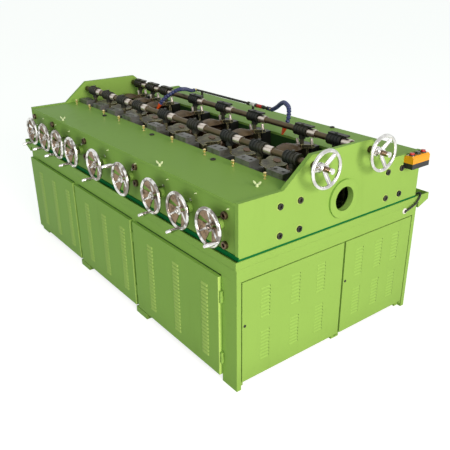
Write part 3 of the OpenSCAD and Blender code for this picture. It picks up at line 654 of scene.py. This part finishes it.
def repeat(name, shape, places, slot, body=BASE, size=(1.0, 1.0, 1.0)):
    """Copies of a shape at (point, euler) places, scaled to size, as one piece."""
    sizes = dict(zip(("width", "depth", "height"), size))
    thing = TREES["repeat"].grow(seed_points(places), name, shape=shape, finish=FINISHES[slot], **sizes)
    return settle(thing, slot, body)


def scaled(profile, radius, height=1.0):
    """A turned profile from shares of a radius and a height; heights stay in metres where none is given."""
    return [(r * radius, z * height) for r, z in profile]


def turned(name, profile, places, slot, body=BASE, sides=24, hexed=()):
    """Copies of a turned part given in metres, at (point, euler) places, as one piece."""
    shape = lathe(name + "_shape", profile, sides, hexed)
    thing = repeat(name, shape, places, slot, body)
    bpy.data.objects.remove(shape)
    return thing


FINISHES = {}
TREES = {}


# Operators


class STRAIGHTENER_OT_finishes(bpy.types.Operator):
    """Gives every solid its finish."""
    bl_idname = "straightener.finishes"
    bl_label = "Finishes"

    def execute(self, context):
        FINISHES.update(make_finishes(context.scene.straightener_colours))
        TREES.update(repeat=repeat_tree(), chain=chain_tree())
        slots = {part["node"]: part["material_slot"] for part in frame["record"]["subparts"]}
        for name, thing in frame["nodes"].items():
            thing.data.materials.clear()
            thing.data.materials.append(FINISHES[slots[name]])
        return {"FINISHED"}


class STRAIGHTENER_OT_louvres(bpy.types.Operator):
    """Presses columns of louvres into the doors."""
    bl_idname = "straightener.louvres"
    bl_label = "Louvres"

    FRONT_COLUMNS = (0.22, 0.53, 0.84)
    END_COLUMNS = (0.21, 0.5, 0.76)
    FRONT_TOP = 0.835
    END_TOPS = (0.86, 0.43)

    def execute(self, context):
        s = context.scene.straightener_doors
        hood = louvre_shape("louvre_shape")
        for door in FRONT_DOORS:
            low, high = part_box(door)
            top = low.z + (RAIL_LOW.z - low.z) * self.FRONT_TOP
            places = [((low.x + (high.x - low.x) * share, low.y, top - row * s.pitch), FACE_FRONT)
                      for share in self.FRONT_COLUMNS for row in range(s.rows)]
            # Front louvres in pale paint: painted highlight of the light they catch.
            repeat(f"{door}_louvres", hood, places, "pale_paint", door, (s.slit_l, s.slit_h, s.slit_out))
        for door in END_DOORS:
            low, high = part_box(door)
            tops = [low.z + (RAIL_LOW.z - low.z) * share for share in self.END_TOPS]
            places = [((high.x, low.y + (high.y - low.y) * share, top - row * s.end_pitch), FACE_NEAR)
                      for share in self.END_COLUMNS for top in tops for row in range(s.end_rows)]
            # End louvres in a paler copy of the body paint: painted highlight.
            repeat(f"{door}_louvres", hood, places, "near_paint", door, (s.slit_l, s.end_h, s.end_out))
        bpy.data.objects.remove(hood)
        return {"FINISHED"}


def socket_bolts(name, r, spots, slot, out=1.0):
    """Socket-head bolts of head radius r with hexagon recesses; out stretches how far they stand out."""
    profile = ((1, -0.1), (1, 0.42), (0.9, 0.5), (0.58, 0.5), (0.52, 0.46), (0.52, 0.1))
    turned(name, scaled(profile, r, r * out), spots, slot, hexed=(3, 4, 5))


class STRAIGHTENER_OT_bolts(bpy.types.Operator):
    """Sets the socket bolts of end plates, front wall and tables."""
    bl_idname = "straightener.bolts"
    bl_label = "Bolts"

    PLATE_ACROSS = (-0.410, -0.280, 0.377, 0.494)
    PLATE_UP = (0.088, 0.239)
    WALL_PAIRS = ((1.188, 0.076, 0.227), (0.357, 0.150, 0.246), (-0.300, 0.147, 0.249),
                  (-0.823, 0.150, 0.256), (-1.165, 0.148, 0.250))
    TABLE_SPOTS = ((0.688, -0.357), (0.036, -0.353), (-0.616, -0.352), (0.625, 0.645))
    HEAD_OUT = 1.6
    SPOT_FACE = ((1.3, -0.0005), (1.3, 0.0004), (1, 0.0008))

    def execute(self, context):
        s = context.scene.straightener_fasteners
        plate = [(PLATE_HIGH.x, FACE_NEAR), (FAR_LOW.x, FACE_FAR)]
        spots = [((x, MID_Y + y, PLATE_LOW.z + z), face) for x, face in plate for y in self.PLATE_ACROSS
                 for z in self.PLATE_UP]
        socket_bolts("plate_bolts", s.plate_bolt, spots, "black_iron")
        # Pale spot faces round the plate bolts: painted highlight.
        turned("spot_faces", scaled(self.SPOT_FACE, s.plate_bolt), spots, "pale_paint")
        spots = [((MID_X + x, WALL_LOW.y, PLATE_LOW.z + z), FACE_FRONT)
                 for x, *ups in self.WALL_PAIRS for z in ups]
        socket_bolts("wall_bolts", s.wall_bolt, spots, "bolt_steel", self.HEAD_OUT)
        spots = [((MID_X + x, MID_Y + y, TABLE_HIGH.z), FACE_UP) for x, y in self.TABLE_SPOTS]
        socket_bolts("table_bolts", s.table_bolt, spots, "black_iron")
        return {"FINISHED"}


class STRAIGHTENER_OT_oiling(bpy.types.Operator):
    """Sets brass oil cups and wing bolts on the front table, and grease nipples on the front wall."""
    bl_idname = "straightener.oiling"
    bl_label = "Oil cups and nipples"

    CUP_OFF = -0.053
    CUP_IN = 0.050
    WINGS = ((-0.677, -0.636), (0.597, -0.640), (1.158, -0.442))
    NIPPLE_OFF = 0.062
    NIPPLE_DOWN = 0.042
    CUP = ((0.7, -0.02), (0.7, 0.06), (0.42, 0.08), (0.42, 0.42), (1, 0.44), (1, 0.56), (0.6, 0.58),
           (0.8, 0.62), (0.85, 0.88), (0.62, 0.96), (0.2, 1))
    NIPPLE = ((1, 0), (1, 0.9), (0.55, 1), (0.5, 1.7), (0.7, 2.1), (0.3, 2.6))

    def execute(self, context):
        s = context.scene.straightener_fasteners
        cups, nipples = [], []
        for name in WHEELS:
            x = JOINTS[name + "_turn"]["pos_m"][0]
            cups.append(((x + self.CUP_OFF, TABLE_HIGH.y - self.CUP_IN, TABLE_HIGH.z), FACE_UP))
            nipples.append(((x + self.NIPPLE_OFF, WALL_LOW.y, TABLE_HIGH.z - self.NIPPLE_DOWN), FACE_FRONT))
        turned("oil_cups", scaled(self.CUP, s.cup_r, s.cup_h), cups, "brass", hexed=(4, 5))
        nipple = scaled(self.NIPPLE, s.nipple_r, s.nipple_r)
        # Nipples and wing bolts in a pale, lit copy of the green paint: painted highlight.
        turned("grease_nipples", nipple, nipples, "bright_paint", sides=12, hexed=(0, 1))
        wing = wing_shape("wing_shape")
        spots = [((MID_X + x, MID_Y + y, TABLE_HIGH.z), Euler((0, 0, 0.5))) for x, y in self.WINGS]
        repeat("wing_bolts", wing, spots, "bright_paint")
        bpy.data.objects.remove(wing)
        return {"FINISHED"}


class STRAIGHTENER_OT_locks(bpy.types.Operator):
    """Sets a small round lock in the free edge of each end door."""
    bl_idname = "straightener.locks"
    bl_label = "Door locks"

    LOCK = ((1, -0.2), (1, 0.15), (0.8, 0.3), (0.35, 0.3), (0.3, 0.05))

    def execute(self, context):
        s = context.scene.straightener_doors
        for door in END_DOORS:
            low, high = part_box(door)
            spot = (high.x, low.y + s.lock_in, s.lock_z)
            lock = scaled(self.LOCK, s.lock_r, s.lock_r)
            turned(f"{door}_lock", lock, [(spot, FACE_NEAR)], "black_iron", door)
        return {"FINISHED"}


def web_shape(name, half, steps=12):
    """One web of a dished handwheel along +X: a strip of a cone that spans half(radius) to each side."""
    inner, rim, dish, thick = 0.020, 0.0905, 0.024, 0.0018
    bm = bmesh.new()
    sheets = []
    for side in (-thick, thick):
        sheet = []
        for k in range(5):
            r = inner + (rim - 0.004 - inner) * k / 4
            z = dish * (r / rim - 1) + side
            sheet.append([bm.verts.new((r * math.cos(a), r * math.sin(a), z))
                          for a in (half(r) * (2 * i / steps - 1) for i in range(steps + 1))])
        sheets.append(sheet)
    low, high = sheets
    for k in range(4):
        for i in range(steps):
            for s in sheets:
                bm.faces.new((s[k][i], s[k][i + 1], s[k + 1][i + 1], s[k + 1][i]))
        for i in (0, steps):
            bm.faces.new((low[k][i], low[k + 1][i], high[k + 1][i], high[k][i]))
    for k in (0, 4):
        for i in range(steps):
            bm.faces.new((low[k][i], low[k][i + 1], high[k][i + 1], high[k][i]))
    bmesh.ops.recalc_face_normals(bm, faces=bm.faces)
    return shape_object(name, bm)


def spun(spot, face, angles, offset):
    """Places at one spot, turned about the axis of face by each angle in degrees."""
    turns = [Matrix.Rotation(math.radians(angle + offset), 3, "Z") for angle in angles]
    return [(spot, (face.to_matrix() @ turn).to_euler()) for turn in turns]


class STRAIGHTENER_OT_wheels(bpy.types.Operator):
    """Adds nuts, webs and levers to the handwheels, and sleeves to the back yokes' columns."""
    bl_idname = "straightener.wheels"
    bl_label = "Handwheel nuts, levers and sleeves"

    NUT_R = 0.013
    HUB_OUT = 0.004
    LEVER_UP = 0.043
    LEVER_OFF = 0.016
    COLUMNS = ((-0.005, 0.101, 0.141), (0.113, 0.101, 0.141))
    SPOKES = (90, 210, 330)
    END_TURN = -40
    TOP_HALF, SIDE_HALF, FLAT_HALF = 57, 42, 0.0125
    NUT = ((1.5, -0.002), (1.5, 0.002), (1, 0.0022), (1, 0.011), (0.8, 0.0125), (0.5, 0.0125), (0.48, 0.017),
           (0.3, 0.0185))
    LEVER = ((1.5, 0), (1.5, 0.12), (0.7, 0.16), (0.7, 0.5), (1, 0.6), (1, 0.94), (0.6, 1))
    SLEEVE = ((0.0087, 0.0002), (0.0087, 0.030), (0.0078, 0.0352), (0.004, 0.0354))

    def execute(self, context):
        s = context.scene.straightener_fasteners
        nut = scaled(self.NUT, self.NUT_R)
        levers = []
        for name in WHEELS:
            x, y, z = JOINTS[name + "_turn"]["pos_m"]
            hub = [((x, y + self.HUB_OUT, z), FACE_FRONT)]
            turned(f"{name}_nut", nut, hub, "chrome", name, hexed=(2, 3))
            levers.append(((x + self.LEVER_OFF, WALL_LOW.y, z + self.LEVER_UP), FACE_FRONT))
        turned("lock_levers", scaled(self.LEVER, s.lever_r, s.lever_l), levers, "chrome", sides=16)
        wide = web_shape("wide_web", lambda r: math.radians(self.TOP_HALF))
        broad = web_shape("broad_web", lambda r: math.radians(self.SIDE_HALF))
        flat = web_shape("flat_web", lambda r: math.asin(self.FLAT_HALF / r))
        for name in WHEELS:
            top, *sides = spun(JOINTS[name + "_turn"]["pos_m"], FACE_FRONT, self.SPOKES, 0)
            # The front wheels' webs carry the brown of the mirrored shop: painted reflection.
            repeat(f"{name}_top_web", wide, [top], "web_steel", name)
            repeat(f"{name}_webs", broad, sides, "web_steel", name)
        for name in END_WHEELS:
            spots = spun(JOINTS[name + "_turn"]["pos_m"], FACE_NEAR, self.SPOKES, self.END_TURN)
            repeat(f"{name}_webs", flat, spots, "chrome", name)
        for shape in (wide, broad, flat):
            bpy.data.objects.remove(shape)
        sleeves = []
        for name in BACK_ROLLS:
            lean = Vector((0, 0, 1)).rotation_difference(Vector(JOINTS[name]["axis"]))
            for spot in self.COLUMNS:
                place = Vector(JOINTS[name]["pos_m"]) + lean @ Vector(spot)
                sleeves.append((tuple(place), lean.to_euler()))
        turned("column_sleeves", self.SLEEVE, sleeves, "collar_steel")
        return {"FINISHED"}


def smooth_way(points, steps):
    """Even curve through given points, as the solids' hoses run."""
    way = []
    last = len(points) - 1
    for i in range(last):
        a, b, c, d = (points[max(0, i - 1)], points[i], points[i + 1], points[min(last, i + 2)])
        for k in range(steps):
            t = k / steps
            way.append(0.5 * (2 * b + (c - a) * t + (2 * a - 5 * b + 4 * c - d) * t * t
                              + (3 * b - a - 3 * c + d) * t ** 3))
    return way + [points[-1]]


def poly_curve(name, way):
    curve = bpy.data.curves.new(name, "CURVE")
    curve.dimensions = "3D"
    spline = curve.splines.new("POLY")
    spline.points.add(len(way) - 1)
    for point, place in zip(spline.points, way):
        point.co = (*place, 1)
    return placed(name, curve)


class STRAIGHTENER_OT_coolant(bpy.types.Operator):
    """Strings the coolant hoses from moulded segments and adds the pipe's fittings."""
    bl_idname = "straightener.coolant"
    bl_label = "Coolant line"

    FAR_WAY = ((0, 0, 0), (0, -20, 0), (38, -59, 12), (118, -149, 44), (208, -254, 70), (222, -309, 68),
               (198, -359, 37), (173, -394, 2), (160, -407, -24))
    NEAR_WAY = ((0, 0, 0), (25, 0, 0), (85, -15, 28), (175, -55, 75), (265, -110, 100), (360, -165, 92),
                (395, -200, 34), (389, -220, -16))
    PIPE_R = 0.008
    ELBOW_R = 0.010
    ELBOW_X = 0.012
    FLANGE_R = 0.018
    LINK = ((0.55, -0.5), (0.8, -0.42), (1.0, -0.1), (1.0, 0.16), (0.72, 0.3), (0.62, 0.5))
    NUT = ((1.55, -0.012), (1.75, -0.010), (1.75, 0.010), (1.55, 0.012))
    UNION = ((1.2, -0.03), (1.55, -0.026), (1.55, 0.026), (1.2, 0.03))
    TAIL = ((1.1, -0.004), (1.5, 0), (1.5, 0.024), (1.1, 0.027), (1.1, 0.04))
    UNION_AT, VALVE_AT, TAIL_AT, TAIL_IN = -0.178, -0.105, -0.018, 0.022
    NUTS_AT = (-0.225, -0.140, -0.066, -0.02)

    def execute(self, context):
        s = context.scene.straightener_coolant
        axis_y, axis_z = PIPE_HIGH.y - self.FLANGE_R, PIPE_HIGH.z - self.ELBOW_R
        ends = {"far": (Vector((PIPE_LOW.x + self.ELBOW_X, PIPE_LOW.y, axis_z)), self.FAR_WAY),
                "near": (Vector((PIPE_HIGH.x, axis_y, axis_z)), self.NEAR_WAY)}
        link = lathe("link_shape", self.LINK, 20)
        for word, (start, offsets) in ends.items():
            way = smooth_way([start + Vector(d) * MM for d in offsets], 6)
            hose = TREES["chain"].grow(poly_curve("way", way), f"{word}_hose", shape=link, radius=s.hose_r,
                                       pitch=s.hose_pitch, finish=FINISHES["hose_plastic"])
            settle(hose, "hose_plastic")
        bpy.data.objects.remove(link)
        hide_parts("coolant_hoses")
        along = Euler((0, math.pi / 2, 0))
        near, far = ends["near"][0], ends["far"][0]

        def at(offset):
            return near + Vector((offset, 0, 0))

        body = scaled(self.UNION, self.PIPE_R)
        turned("white_union", body, [(at(self.UNION_AT), along)], "white_plastic")
        turned("valve_body", body, [(at(self.VALVE_AT), along)], "red_plastic")
        spots = [(at(x), along) for x in self.NUTS_AT]
        turned("pipe_nuts", scaled(self.NUT, self.PIPE_R), spots, "pipe_iron", hexed=(0, 1, 2, 3))
        tails = [(far + Vector((0, self.TAIL_IN, 0)), FACE_FRONT), (at(self.TAIL_AT), along)]
        turned("hose_tails", scaled(self.TAIL, self.PIPE_R), tails, "brass", hexed=(1, 2))
        return {"FINISHED"}


class STRAIGHTENER_OT_control(bpy.types.Operator):
    """Adds collars round the buttons and screws in the control box's cover."""
    bl_idname = "straightener.control"
    bl_label = "Control box"

    BUTTONS = 3
    COLLAR = ((1.32, -0.001), (1.32, 0.004), (1.22, 0.006), (0.98, 0.006), (0.98, 0.001))
    SCREW = ((0.004, -0.001), (0.004, 0.0012), (0.003, 0.002), (0.001, 0.002))
    SCREW_IN = 0.014

    def execute(self, context):
        low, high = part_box("control_buttons")
        box_low, box_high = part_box("control_box_cover")
        top = box_high.z
        r = (high.x - low.x) / 2
        x = (low.x + high.x) / 2
        ys = [low.y + r + (high.y - low.y - 2 * r) * i / (self.BUTTONS - 1) for i in range(self.BUTTONS)]
        spots = [((x, y, top), FACE_UP) for y in ys]
        turned("button_collars", scaled(self.COLLAR, r), spots, "black_plastic")
        spots = [((px, py, top), FACE_UP) for px in (box_low.x + self.SCREW_IN, box_high.x - self.SCREW_IN)
                 for py in (box_low.y + self.SCREW_IN, box_high.y - self.SCREW_IN)]
        turned("cover_screws", self.SCREW, spots, "chrome", sides=12)
        return {"FINISHED"}


class STRAIGHTENER_OT_cable(bpy.types.Operator):
    """Leads a cable from a grommet in the near band over the tray's lip to the bed."""
    bl_idname = "straightener.cable"
    bl_label = "Cable and grommet"

    GROMMET = (0.563, 0.676)
    WAY = ((4, 0, 0), (13, 10, 6), (16, 34, 16), (15, 68, 25), (13, 96, 41), (8, 126, 66), (-6, 136, 78),
           (-26, 130, 66), (-44, 116, 50), (-56, 100, 48), (-64, 84, 50))
    RING = ((3.2, -0.002), (3.2, 0.003), (2.6, 0.007), (1.5, 0.008), (1.2, 0.003))
    HOLE = ((1.9, 0.007), (1.9, 0.0084), (0.5, 0.0086))

    def execute(self, context):
        s = context.scene.straightener_coolant
        y, z = self.GROMMET
        start = Vector((RAIL_HIGH.x, MID_Y + y, z))
        r = s.cable_d / 2
        spot = [(tuple(start), FACE_NEAR)]
        turned("cable_grommet", scaled(self.RING, r), spot, "white_plastic")
        turned("cable_hole", scaled(self.HOLE, r), spot, "black_plastic")
        way = smooth_way([start + Vector(d) * MM for d in self.WAY], 5)
        cable = poly_curve("control_cable", way)
        cable.data.bevel_depth = r
        cable.data.bevel_resolution = 4
        cable.data.use_fill_caps = True
        settle(cable, "black_plastic")
        run = sum((b - a).length for a, b in zip(way, way[1:]))
        return {"FINISHED"}


def bars(name, boxes, slot, body=BASE):
    """Straight bars between (low, high) corners, as one piece."""
    bm = bmesh.new()
    for low, high in boxes:
        low, high = Vector(low), Vector(high)
        bmesh.ops.create_cube(bm, size=1, matrix=Matrix.LocRotScale((low + high) / 2, None, high - low))
    return settle(shape_object(name, bm), slot, body)


class STRAIGHTENER_OT_seams(bpy.types.Operator):
    """Lays a dark bead round the foot of the bed as painted shadow, a pale bar on the near plate's inner top edge
    as painted highlight, the front doors' seals, dark as painted shadow in their gaps, pale strips on the doors'
    hinge-side edges as painted highlight, and the middle posts' feet.
    """
    bl_idname = "straightener.seams"
    bl_label = "Beads, seals and feet"

    BEAD = 0.004
    FILM = 0.0012
    SEAL = Vector((0.020, 0.003, 0.014))
    KNUCKLE = 0.017
    EDGE = 0.0045
    BAND = 0.020
    EDGE_TO = -0.442
    FOOT = Vector((0.125, 0.030, 0.040))
    FOOT_OUT = 0.020

    def execute(self, context):
        b, film, z = self.BEAD, self.FILM, TRAY_HIGH.z
        x, y = PLATE_HIGH.x, min(PLATE_LOW.y, WALL_LOW.y)
        # Painted shadow: a dark bead at the foot of the near plate and along the foot of the front wall.
        shadow_beads = [((x - b, PLATE_LOW.y, z - b), (x + film, PLATE_HIGH.y, z + self.BAND / 2)),
                 ((FAR_LOW.x, y - film, z - b), (x + 0.001, y + b, z + self.BAND))]
        bars("sealing_bead", shadow_beads, "seam_paint")
        low = (PLATE_LOW.x - 0.002, y + b, TABLE_HIGH.z - b)
        # Painted highlight: a pale bar along the near plate's inner top edge.
        bars("plate_edge", [(low, (PLATE_LOW.x + b, self.EDGE_TO, TABLE_HIGH.z + 0.0015))], "bright_paint")
        seals, feet = [], []
        front, back = RAIL_LOW.y + 0.0005, RAIL_LOW.y + self.SEAL.y
        for door in FRONT_DOORS:
            low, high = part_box(door)
            edge = high.x - self.KNUCKLE
            # Seals along the doors' top and hinge gaps, dark as painted shadow in those gaps.
            seals.append(((low.x, front, RAIL_LOW.z - self.SEAL.z), (high.x, back, RAIL_LOW.z)))
            seals.append(((edge - self.SEAL.x, front, low.z), (edge, back, RAIL_LOW.z)))
            # Painted highlight: a pale strip on each front door's hinge-side edge.
            bars(f"{door}_edge", [((edge - self.EDGE, low.y - 0.0006, low.z + 0.001),
                                   (edge + 0.0004, low.y + 0.010, high.z - 0.001))], "edge_paint", door)
            if door != FRONT_DOORS[-1]:
                feet.append(((edge, RAIL_LOW.y - self.FOOT_OUT, 0),
                             (edge + self.FOOT.x, RAIL_LOW.y + self.FOOT.y, self.FOOT.z)))
                feet.append(((edge, RAIL_HIGH.y - self.FOOT.y, 0),
                             (edge + self.FOOT.x, RAIL_HIGH.y, self.FOOT.z)))
        bars("door_seals", seals, "trough_paint")
        bars("post_feet", feet, "green_paint")
        return {"FINISHED"}


def seen_directly(tree):
    """1 for rays from the camera and from mirrors."""
    rays = add_node(tree, "ShaderNodeLightPath", {}, {}).outputs
    either = {0: rays["Is Camera Ray"], 1: rays["Is Glossy Ray"]}
    return add_node(tree, "ShaderNodeMath", {"operation": "MAXIMUM"}, either).outputs[0]


class STRAIGHTENER_OT_stage(bpy.types.Operator):
    """Sets floor, light and camera."""
    bl_idname = "straightener.stage"
    bl_label = "Stage"

    FORWARD = Vector((-0.72842, 0.55056, -0.40778))
    RIGHT = Vector((0.60644, 0.79507, -0.00984))
    FLOOR_HALF = 150.0
    FLOOR_GLOW = 0.78
    LAMP_SIZE = 4.0
    KEY_AT, KEY_TO = Vector((8.6, -1.2, 2.9)), Vector((0.4, 0.0, 0.8))
    FILL_AT, FILL_TO = Vector((1.0, -6.0, 1.6)), Vector((0.2, 0.0, 0.7))
    WARM = (1.0, 0.857, 0.84)
    COOL = (0.84, 1.0, 0.93)
    PLAIN = (1.0, 1.0, 1.0)

    def execute(self, context):
        s = context.scene.straightener_stage
        context.scene.view_settings.view_transform = "Standard"
        self.set_camera(context.scene, s)
        self.set_floor(tuple(s.floor))
        self.set_world(context.scene, s.sky)
        self.set_lamp("key", self.KEY_AT, self.KEY_TO, s.key_power, self.WARM)
        self.set_lamp("fill", self.FILL_AT, self.FILL_TO, s.fill_power, self.PLAIN)
        return {"FINISHED"}

    def set_camera(self, scene, s):
        lens = bpy.data.cameras.new("camera")
        lens.sensor_fit = "HORIZONTAL"
        lens.sensor_width = 36
        lens.lens = s.lens
        back = -self.FORWARD.normalized()
        right = (self.RIGHT - back * self.RIGHT.dot(back)).normalized()
        turn = Matrix((right, back.cross(right), back)).transposed()
        scene.camera = placed("camera", lens)
        scene.camera.matrix_world = Matrix.LocRotScale(Vector(s.eye), turn.to_quaternion(), None)

    def set_floor(self, tone):
        h = self.FLOOR_HALF
        mesh = bpy.data.meshes.new("floor")
        mesh.from_pydata([(-h, -h, 0), (h, -h, 0), (h, h, 0), (-h, h, 0)], [], [(0, 1, 2, 3)])
        material = bpy.data.materials.new("pale_floor")
        material.use_nodes = True
        tree = material.node_tree
        tree.nodes.clear()
        matt = add_node(tree, "ShaderNodeBsdfDiffuse", {}, {"Color": tone})
        share = add_node(tree, "ShaderNodeMath", {"operation": "MULTIPLY"},
                         {0: seen_directly(tree), 1: self.FLOOR_GLOW})
        glow = add_node(tree, "ShaderNodeEmission", {}, {"Strength": share.outputs[0]})
        both = add_node(tree, "ShaderNodeAddShader", {}, {0: matt.outputs[0], 1: glow.outputs[0]})
        add_node(tree, "ShaderNodeOutputMaterial", {}, {0: both.outputs[0]})
        mesh.materials.append(material)
        placed("floor", mesh)

    def set_world(self, scene, strength):
        world = bpy.data.worlds.new("studio")
        world.use_nodes = True
        tree = world.node_tree
        seen = seen_directly(tree)
        level = add_node(tree, "ShaderNodeMapRange", {}, {"Value": seen, "To Min": strength, "To Max": 1.0})
        tint = add_node(tree, "ShaderNodeMix", {"data_type": "RGBA"}, {0: seen, 6: self.COOL, 7: self.PLAIN})
        sky = tree.nodes["Background"].inputs
        feed(tree, sky["Strength"], level.outputs[0])
        feed(tree, sky["Color"], tint.outputs[2])
        scene.world = world

    def set_lamp(self, name, place, target, power, tint):
        light = bpy.data.lights.new(name, "AREA")
        light.energy = power
        light.size = self.LAMP_SIZE
        light.color = tint
        lamp = placed(name, light)
        lamp.location = place
        lamp.rotation_euler = (target - place).to_track_quat("-Z", "Y").to_euler()


OPERATORS = (STRAIGHTENER_OT_finishes, STRAIGHTENER_OT_louvres, STRAIGHTENER_OT_bolts, STRAIGHTENER_OT_oiling,
             STRAIGHTENER_OT_locks, STRAIGHTENER_OT_wheels, STRAIGHTENER_OT_coolant, STRAIGHTENER_OT_control,
             STRAIGHTENER_OT_cable, STRAIGHTENER_OT_seams, STRAIGHTENER_OT_stage)
GROUPS = {"straightener_colours": FinishColours, "straightener_doors": DoorSizes,
          "straightener_fasteners": FastenerSizes, "straightener_coolant": CoolantSizes,
          "straightener_stage": StageSizes}


class STRAIGHTENER_PT_panel(bpy.types.Panel):
    """Lists the steps that dress the machine."""
    bl_idname = "STRAIGHTENER_PT_panel"
    bl_label = "Roller straightener"
    bl_space_type = "VIEW_3D"
    bl_region_type = "UI"
    bl_category = "Straightener"

    def draw(self, context):
        for operator in OPERATORS:
            self.layout.operator(operator.bl_idname)


def register():
    for name, group in GROUPS.items():
        bpy.utils.register_class(group)
        setattr(bpy.types.Scene, name, PointerProperty(type=group))
    for cls in (*OPERATORS, STRAIGHTENER_PT_panel):
        bpy.utils.register_class(cls)


def unregister():
    for cls in (STRAIGHTENER_PT_panel, *reversed(OPERATORS)):
        bpy.utils.unregister_class(cls)
    for name, group in reversed(GROUPS.items()):
        delattr(bpy.types.Scene, name)
        bpy.utils.unregister_class(group)


def main():
    register()
    for operator in OPERATORS:
        group, step = operator.bl_idname.split(".")
        getattr(getattr(bpy.ops, group), step)()


if __name__ == "__main__":
    main()
